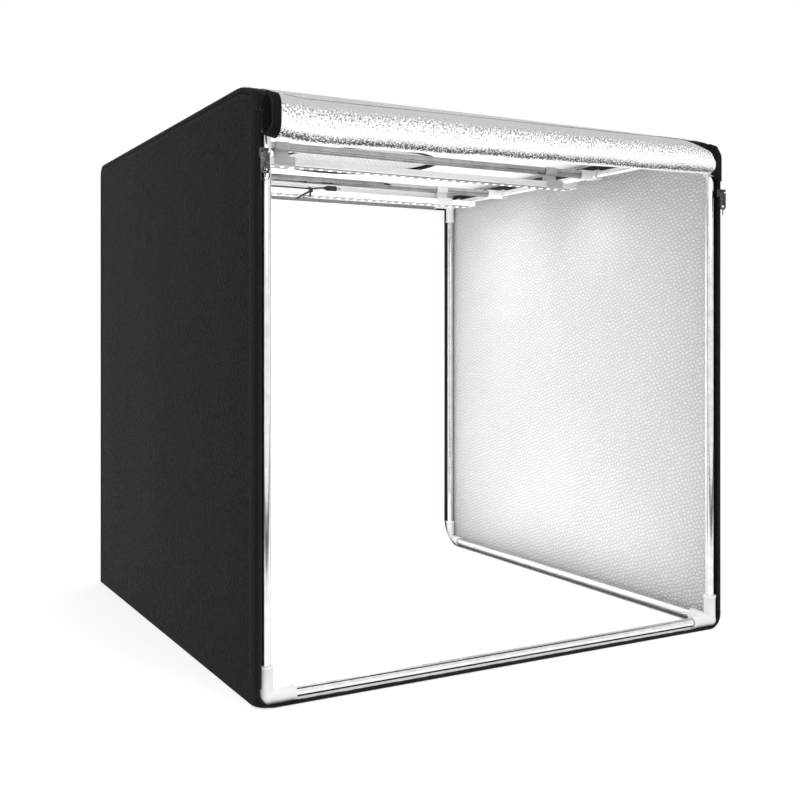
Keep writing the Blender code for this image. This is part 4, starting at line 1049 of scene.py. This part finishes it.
# The silver's colour carries painted reflection, set by the place up the roll: a grey band along its top,
# sparse dark specks below that and a dark band near its foot.
height = 1.395 - 11.6 * cloth.node("SeparateXYZ", {"Vector": cloth}, output="Y")
grains = cloth.noise(330.0, 2.0, {"Roughness": 0.6}, noise_dimensions="2D")
crumple = cloth.noise(12.0, 3.0, noise_dimensions="2D")
level = height + 0.10 * (crumple - 0.5)
painted_top_reflection = (level + 0.75 * (grains - 0.5)).ease(0.56, 0.62)
painted_reflection_specks = grains.ease(0.60, 0.64) * (1 - level.ease(0.66, 0.78)) * level.ease(0.30, 0.55) * 0.7
painted_dark_band = (level + 0.20 * (grains - 0.5)).ease(0.15, 0.17)
painted_dark_band *= 1 - (level + 0.45 * (grains - 0.5)).ease(0.26, 0.29)
painted_dark_reflection = painted_reflection_specks.sum("MAXIMUM", painted_reflection_specks, painted_dark_band * grains.ease(0.32, 0.42))
cloth.finish(painted_dark_reflection.tint(painted_top_reflection.tint(grey(0.93), grey(0.48)), grey(0.05)), 0.35 + 0.3 * grains,
             grains.bump(0.0007, 0.7), {"Metallic": 0.1})
roll_dark = leather_finish("Black leatherette, door back", 0.02, 0)


def roll_point(x, reach, angle, rise, turn):
    """A place in the roll. It hangs lower to the left, its right end is drawn in on top, and the
    turns at its left end lie one behind another."""
    share = (x - roll_low.x) / (roll_high.x - roll_low.x)
    height = rise + reach * sin(angle)
    sag = (ROLL_SLOPE * share - ROLL_SAG) * min(1, 16 * share)
    drawn = max(0, 1 - (roll_high.x - x) / DRAWN_LENGTH)
    upper = max(0, height / ROLL_HALF_HEIGHT)
    tuck = FOOT_TUCK * max(0, min(1, 1 + height / ROLL_HALF_HEIGHT)) + TOP_TUCK * upper
    loose = max(0, 1 - (x - roll_low.x) / ROLL_TAPE)
    set_back = loose * (0.0006 * turn + 0.0012 * noise.noise(Vector((turn * 1.7, angle * 0.8, 4))))
    return (x - tuck * drawn + abs(set_back), roll_y + reach * cos(angle),
            roll_z + sag + height * (1 - ROLL_TAPER * share) - DRAWN_DROP * drawn ** 2 * upper)


def door_spot(row, x):
    """A spot on the rolled door. It is a little slack, and more so in the tape at its left end."""
    half_turn, rise, angle, reach, unrolled = row
    loose = max(0, 1 - (x - roll_low.x) / ROLL_TAPE)
    facing = Vector((cos(angle), sin(angle)))
    slack = 0.0005 * noise.noise(Vector((x * 9, facing.x * 0.8, facing.y * 0.8)))
    slack += 0.0011 * loose * noise.noise(Vector((x * 40, facing.x * 2, facing.y * 2 + 5)))
    slack -= 0.0007 + 0.0005 * loose
    outer, inner = [roll_point(x, reach + slack - inset, angle, rise, half_turn) for inset in (0, ROLL_SHEET)]
    return outer, inner, (x, unrolled)


door_rows = []
unrolled = 0
for half_turn in range(ROLL_HALF_TURNS):
    rise = ROLL_STRAIGHT if half_turn % 2 == 0 else -ROLL_STRAIGHT
    for i in range(ROLL_STEPS + 1):
        angle = pi * half_turn + pi * i / ROLL_STEPS
        reach = roll_radius - ROLL_PITCH / 2 / ROLL_STEPS * (half_turn * ROLL_STEPS + i)
        spot = Vector((roll_y + reach * cos(angle), roll_z + rise + reach * sin(angle)))
        if door_rows:
            unrolled += (spot - before).length
        before = spot
        door_rows.append((half_turn, rise, angle, reach, unrolled))
tape_steps = (0, 0.0008, 0.0016, 0.003, 0.005, 0.007, 0.009, ROLL_TAPE - 0.0012, ROLL_TAPE)
columns = [roll_low.x + step for step in tape_steps]
columns += list(np.linspace(roll_low.x + ROLL_TAPE + 0.001, roll_high.x - 0.004, 60))
columns += [roll_high.x - 0.001, roll_high.x]
door = slab("rolled_door", [[door_spot(row, x) for x in columns] for row in door_rows],
            roll_silver, roll_dark, tape_finish, binding_and_edge_highlight)
repaint(door, 2, lambda face: face.center.x < roll_low.x + ROLL_TAPE)
# The first 1.2 mm of the roll's left end, with its cut edges, gets the lighter binding finish: a painted
# highlight along the rolled edges.
repaint(door, 3, lambda face: face.center.x < roll_low.x + 0.0012)
settle(door, "root", "silver_lining", "door_roll")


# The door's silver cloth starts on the roof, just behind the front seam. It lies over the header and
# goes on from the header's front edge to the top of the roll. Its right end is black.
LINK_LEFT = -0.374
SILVER_RIGHT = 0.305
LINK_RIGHT = 0.362
LINK_OVER_HEADER = [(WALL_FRONT_Y + 0.034, 0.0009), (WALL_FRONT_Y + 0.022, 0.0012),
                    (WALL_FRONT_Y + 0.010, 0.0012), (WALL_FRONT_Y - 0.001, 0.0012), (-0.379, 0.0009),
                    (FRONT_Y + 0.0005, 0.0008), (FRONT_Y - 0.0012, -0.0002)]
LINK_TO_ROLL = [(FRONT_Y - 0.004, 0.45), (FRONT_Y - 0.009, 0.75), (FRONT_Y - 0.015, 0.92), (roll_y, 1.0)]
columns = [*np.linspace(LINK_LEFT, SILVER_RIGHT, 60), *np.linspace(SILVER_RIGHT + 0.006, LINK_RIGHT, 9)]
outer = [[(x, y, CUBE_HEIGHT - droop_at(y) + lift) for x in columns] for y, lift in LINK_OVER_HEADER]
lip = outer[-1][0][2]
tops = [roll_point(x, roll_radius, pi / 2, ROLL_STRAIGHT, 0)[2] + 0.0003 for x in columns]
outer += [[(x, y, lip + (top - lip) * share) for x, top in zip(columns, tops)] for y, share in LINK_TO_ROLL]
grid = [[((x, y, z), (x, y, z - 0.0005), (x, y)) for x, y, z in row] for row in outer]
link_silver = lining_finish("Silver cloth over the header", grey(0.56), grey(0.47), 0.4)
link = slab("roll_link", grid, link_silver, link_silver, tape_finish)
repaint(link, 2, lambda face: face.center.x > SILVER_RIGHT)
settle(link, "root", "silver_lining")


# At the roll's right end the door's black tape comes out of the roll and goes up to the header. It
# covers the frame's corner piece, and hangs in three soft folds.
FOLD_LEFT = 0.356
FOLD_RIGHT = HALF_WIDTH - 0.0006
FOLD_FOOT = 0.7225
FOLD_RISE = 0.022
FOLD_COUNT = 3
FOLD_DEPTH = 0.0016
FOLD_GAP = 0.0010
FOLD_CLOTH = 0.0009
header_top = CUBE_HEIGHT - droop_at(FRONT_Y)


def fold_spot(share, x):
    """A spot on the folded tape, a share of the way up from its foot."""
    beyond = max(0, x - (HALF_WIDTH - HEADER_CORNER_RADIUS))
    top = header_top - HEADER_CORNER_RADIUS + sqrt(HEADER_CORNER_RADIUS ** 2 - beyond ** 2) - 0.0006
    across = (x - FOLD_LEFT) / (FOLD_RIGHT - FOLD_LEFT)
    fold = FOLD_DEPTH * (1 - cos(2 * pi * FOLD_COUNT * (across + 0.12 * share))) * sin(pi * across)
    y = FRONT_Y - FOLD_GAP - fold
    foot = FOLD_FOOT + FOLD_RISE * (1 - across) ** 1.5
    z = foot + (top - foot) * share
    return (x, y, z), (x, y + FOLD_CLOTH, z), (x, z)


columns = np.linspace(FOLD_LEFT, FOLD_RIGHT, 34)
grid = [[fold_spot(share, x) for x in columns] for share in np.linspace(0, 1, 16)]
end_fold = slab("roll_end_fold", grid, tape_finish, tape_finish)
settle(end_fold, "root", "zip_tape")
header_top - FOLD_FOOT


# Each zip has a cast slider just under the roll. Its flat tab hangs from a pin between the slider's
# two ears, and a small round ring of bent wire hangs in the tab's hole.
RING_WIRE = 0.0007

slider_finish, place = new_finish("Blackened zip metal")
rub = place.noise(350.0, 4.0)
place.finish(rub.ease(0.45, 0.75).tint(grey(0.045), grey(0.13)), 0.3 + 0.2 * rub,
             place.noise(1600.0).bump(0.00012, 0.7), {"Metallic": 0.9})
for side_name, side in (("left", -1), ("right", 1)):
    slider = soft_copy("zip_slider_" + side_name, "cast_slider_" + side_name, 0.0006, slider_finish,
                       segments=3)
    settle(slider, side_name + "_slider", "zip_metal", "zip_slider_" + side_name)
    tab = soft_copy("pull_tab_" + side_name, "stamped_tab_" + side_name, 0.0003, slider_finish)
    settle(tab, side_name + "_tab", "zip_metal", "pull_tab_" + side_name)
    ring_low, ring_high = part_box("pull_ring_" + side_name)
    radius = (ring_high.z - ring_low.z) / 2 - RING_WIRE
    rings = []
    for i in range(40):
        out = Vector((sin(2 * pi * i / 40), 0, cos(2 * pi * i / 40)))
        rings.append([radius * out + RING_WIRE * (cos(a) * out + sin(a) * Vector((0, 1, 0)))
                      for a in np.linspace(0, 2 * pi, 13)[:-1]])
    solid = skin(rings, caps=False)
    solid.transform(Matrix.Translation((ring_low + ring_high) / 2) @ Matrix.Rotation(side * pi / 4, 4, "Z"))
    settle(new_piece("wire_ring_" + side_name, solid, slider_finish), side_name + "_ring", "zip_metal",
           "pull_ring_" + side_name)


# A round flap of the cover's leatherette closes the roof window from outside. It is sewn on along its
# straight rear edge, is lined with the silver cloth and hemmed with one line of stitches.
FLAP_HEM = 0.005
HEM_END = 2.85

flap = soft_copy("roof_window_flap", "window_flap_cloth", 0.0008, leather_top, crease=50)
flap.data.materials.append(lining)
cloth_map = flap.data.uv_layers.new(name="cloth").data
for polygon in flap.data.polygons:
    if polygon.normal.z < -0.5:
        polygon.material_index = 1
    for corner in polygon.loop_indices:
        cloth_map[corner].uv = flap.data.vertices[flap.data.loops[corner].vertex_index].co.xy
settle(flap, "window_flap", "cover_leatherette", "roof_window_flap")
flap_middle = middle_of("roof_window_flap")
flap_radius = (flap_high.x - flap_low.x) / 2
hem_radius = flap_radius - FLAP_HEM
hem = [(flap_middle.x + hem_radius * sin(a), flap_low.y + flap_radius - hem_radius * cos(a), flap_high.z)
       for a in np.linspace(-HEM_END, HEM_END, 120)]
stitch("flap_stitches", [hem], (0, 0, 1), "window_flap")


# A strip of black hook-and-loop tape is sewn across the rear wall, just under the roof. It holds the
# backdrop's top edge, so that the sheet can be taken out.
loop_finish, place = new_finish("Hook-and-loop tape")
loops = place.noise(1100.0, 4.0)
place.finish(loops.ease(0.35, 0.7).tint(grey(0.006), grey(0.030)), 0.9, loops.bump(0.0006, 0.9))
loop_strip = soft_copy("backdrop_strip", "hook_and_loop", 0.0008, loop_finish)
settle(loop_strip, "root", "zip_tape", "backdrop_strip")


# The backdrop is a plain white sheet of soft plastic. It hangs from a strip on the rear wall, bends
# forward near the floor and lies on it up to the opening, so that no corner shows behind a product.
BACKDROP_THICKNESS = 0.001
BACKDROP_BEND = 0.060
BACKDROP_WAVE = 0.0012
HANGING_STEPS = 38

sheet_low, sheet_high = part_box("backdrop")

sheet_finish, place = new_finish("White backdrop sheet")
cloud = place.noise(5.0, 4.0)
place.finish(cloud.tint(grey(0.93), grey(0.97)), 0.55 + 0.15 * cloud, place.noise(1400.0).bump(0.0001, 0.5))


def backdrop_section(inset):
    """The sheet's line from its top edge down, round the bend and forward over the floor."""
    back = sheet_high.y - inset
    under = sheet_low.z + inset
    bend = BACKDROP_BEND - inset
    points = [(back, z) for z in np.linspace(sheet_high.z, under + bend, 40)[:-1]]
    points += [(back - bend + bend * cos(a), under + bend - bend * sin(a))
               for a in np.linspace(0, pi / 2, 16)]
    return points + [(y, under) for y in np.linspace(back - bend, sheet_low.y, 40)[1:]]


sides = [backdrop_section(0), backdrop_section(BACKDROP_THICKNESS)]


def sheet_spot(k, x):
    """A spot on the sheet, k steps down from its top edge, where it hangs in slow waves."""
    hang = max(0, 1 - k / HANGING_STEPS)
    outer, inner = [(x, y - BACKDROP_WAVE * hang * abs(noise.noise(Vector((x * 4, z * 2, 0)))), z)
                    for y, z in (sides[0][k], sides[1][k])]
    return outer, inner, (x, k * 0.02)


columns = np.linspace(sheet_low.x, sheet_high.x, 40)
grid = [[sheet_spot(k, x) for x in columns] for k in range(len(sides[0]))]
backdrop = slab("white_sheet", grid, sheet_finish, sheet_finish)
settle(backdrop, "root", "backdrop_sheet", "backdrop")


# The studio is a plain pale floor that runs back into white. Soft lamps stand before the tent and to
# its left, and others give the light of the bars and what the white sheet and the roof throw back. Two
# dark cards, which only shiny things see, hang high before the tent and lie on the floor there.
FLOOR_SIZE = 60.0
ROOM_LIGHT = 0.75


def seen_by(wire, *kinds):
    """1 for the rays of these kinds, 0 for others."""
    rays = [wire.node("LightPath", output="Is %s Ray" % kind) for kind in kinds]
    seen = rays[0]
    for ray in rays[1:]:
        seen = seen.sum("MAXIMUM", seen, ray)
    return seen


floor_finish, place = new_finish("Pale studio floor")
dust = place.noise(3.0, 5.0)
plain = place.node("BsdfPrincipled", {"Base Color": dust.tint(grey(0.70), grey(0.72)), "Roughness": 0.7})
bright = place.node("BsdfPrincipled", {"Base Color": dust.tint(grey(0.58), grey(0.60)), "Roughness": 0.7,
                                       "Specular IOR Level": 0.0, "Emission Color": grey(1.0),
                                       "Emission Strength": 0.62})
shader = place.node("MixShader", {0: seen_by(place, "Camera", "Glossy"), 1: plain, 2: bright})
place.node("OutputMaterial", {"Surface": shader})
solid = bmesh.new()
bmesh.ops.create_grid(solid, x_segments=1, y_segments=1, size=FLOOR_SIZE / 2)
bmesh.ops.translate(solid, verts=solid.verts, vec=(0, 0, -0.0004))
new_piece("studio_floor", solid, floor_finish)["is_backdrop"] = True

CARDS = {"high_card": ((-2.3, -0.5), 3.0), "low_card": ((-1.9, -1.15), 0.002)}
card_finish, ray = new_finish("Dark card in the tubes", "LightPath", "Is Glossy Ray")
dark = ray.node("Emission", {"Color": grey(0.03), "Strength": 1.0})
shader = ray.node("MixShader", {0: ray, 1: ray.node("BsdfTransparent"), 2: dark})
ray.node("OutputMaterial", {"Surface": shader})
for name, ((front, back), height) in CARDS.items():
    corners = ((-3, front), (3, front), (3, back), (-3, back))
    solid = skin([[(x, y, z) for x, y in corners] for z in (height, height + 0.01)])
    new_piece(name, solid, card_finish)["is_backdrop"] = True

world = bpy.data.worlds.new("studio")
world.use_nodes = True
world.node_tree.nodes.clear()
wire = Wire(world.node_tree)
room = wire.node("Background", {"Color": grey(1.0), "Strength": ROOM_LIGHT})
white = wire.node("Background", {"Color": grey(1.0), "Strength": 1.0})
shader = wire.node("MixShader", {0: seen_by(wire, "Camera", "Glossy", "Transmission"), 1: room, 2: white})
wire.node("OutputWorld", {"Surface": shader})
bpy.context.scene.world = world


def soft_lamp(name, place, aim, width, height, power, unseen=False):
    """A broad soft lamp that looks at a point."""
    light = bpy.data.lights.new(name, "AREA")
    light.shape = "RECTANGLE"
    light.size = width
    light.size_y = height
    light.energy = power
    lamp = bpy.data.objects.new(name, light)
    lamp.location = place
    lamp.visible_camera = not unseen
    lamp.visible_glossy = not unseen
    lamp.rotation_euler = (Vector(aim) - Vector(place)).to_track_quat("-Z", "Y").to_euler()
    bpy.context.scene.collection.objects.link(lamp)


soft_lamp("front_lamp", (-0.3, -2.6, 1.7), (0, 0, 0.4), 1.8, 1.8, 34)
soft_lamp("left_lamp", (-2.6, -0.6, 1.9), (0, 0, 0.4), 1.6, 1.6, 4)
soft_lamp("sheet_glow", (0, 0.02, 0.03), (0, 0.0201, 1), 0.62, 0.62, 3.2, True)
soft_lamp("roof_glow", (0, 0.05, 0.70), (0, 0.43, 0.56), 0.6, 0.10, 0.8, True)
for place_name in ("front", "rear"):
    strip_low, strip_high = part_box("light_strip_" + place_name)
    x, y = ((strip_low + strip_high) / 2).xy
    soft_lamp("bar_light_" + place_name, (x, y, strip_low.z - 0.004), (x, y + 0.0001, 0), 0.6, 0.016, 1.1,
              True)


low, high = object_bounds()
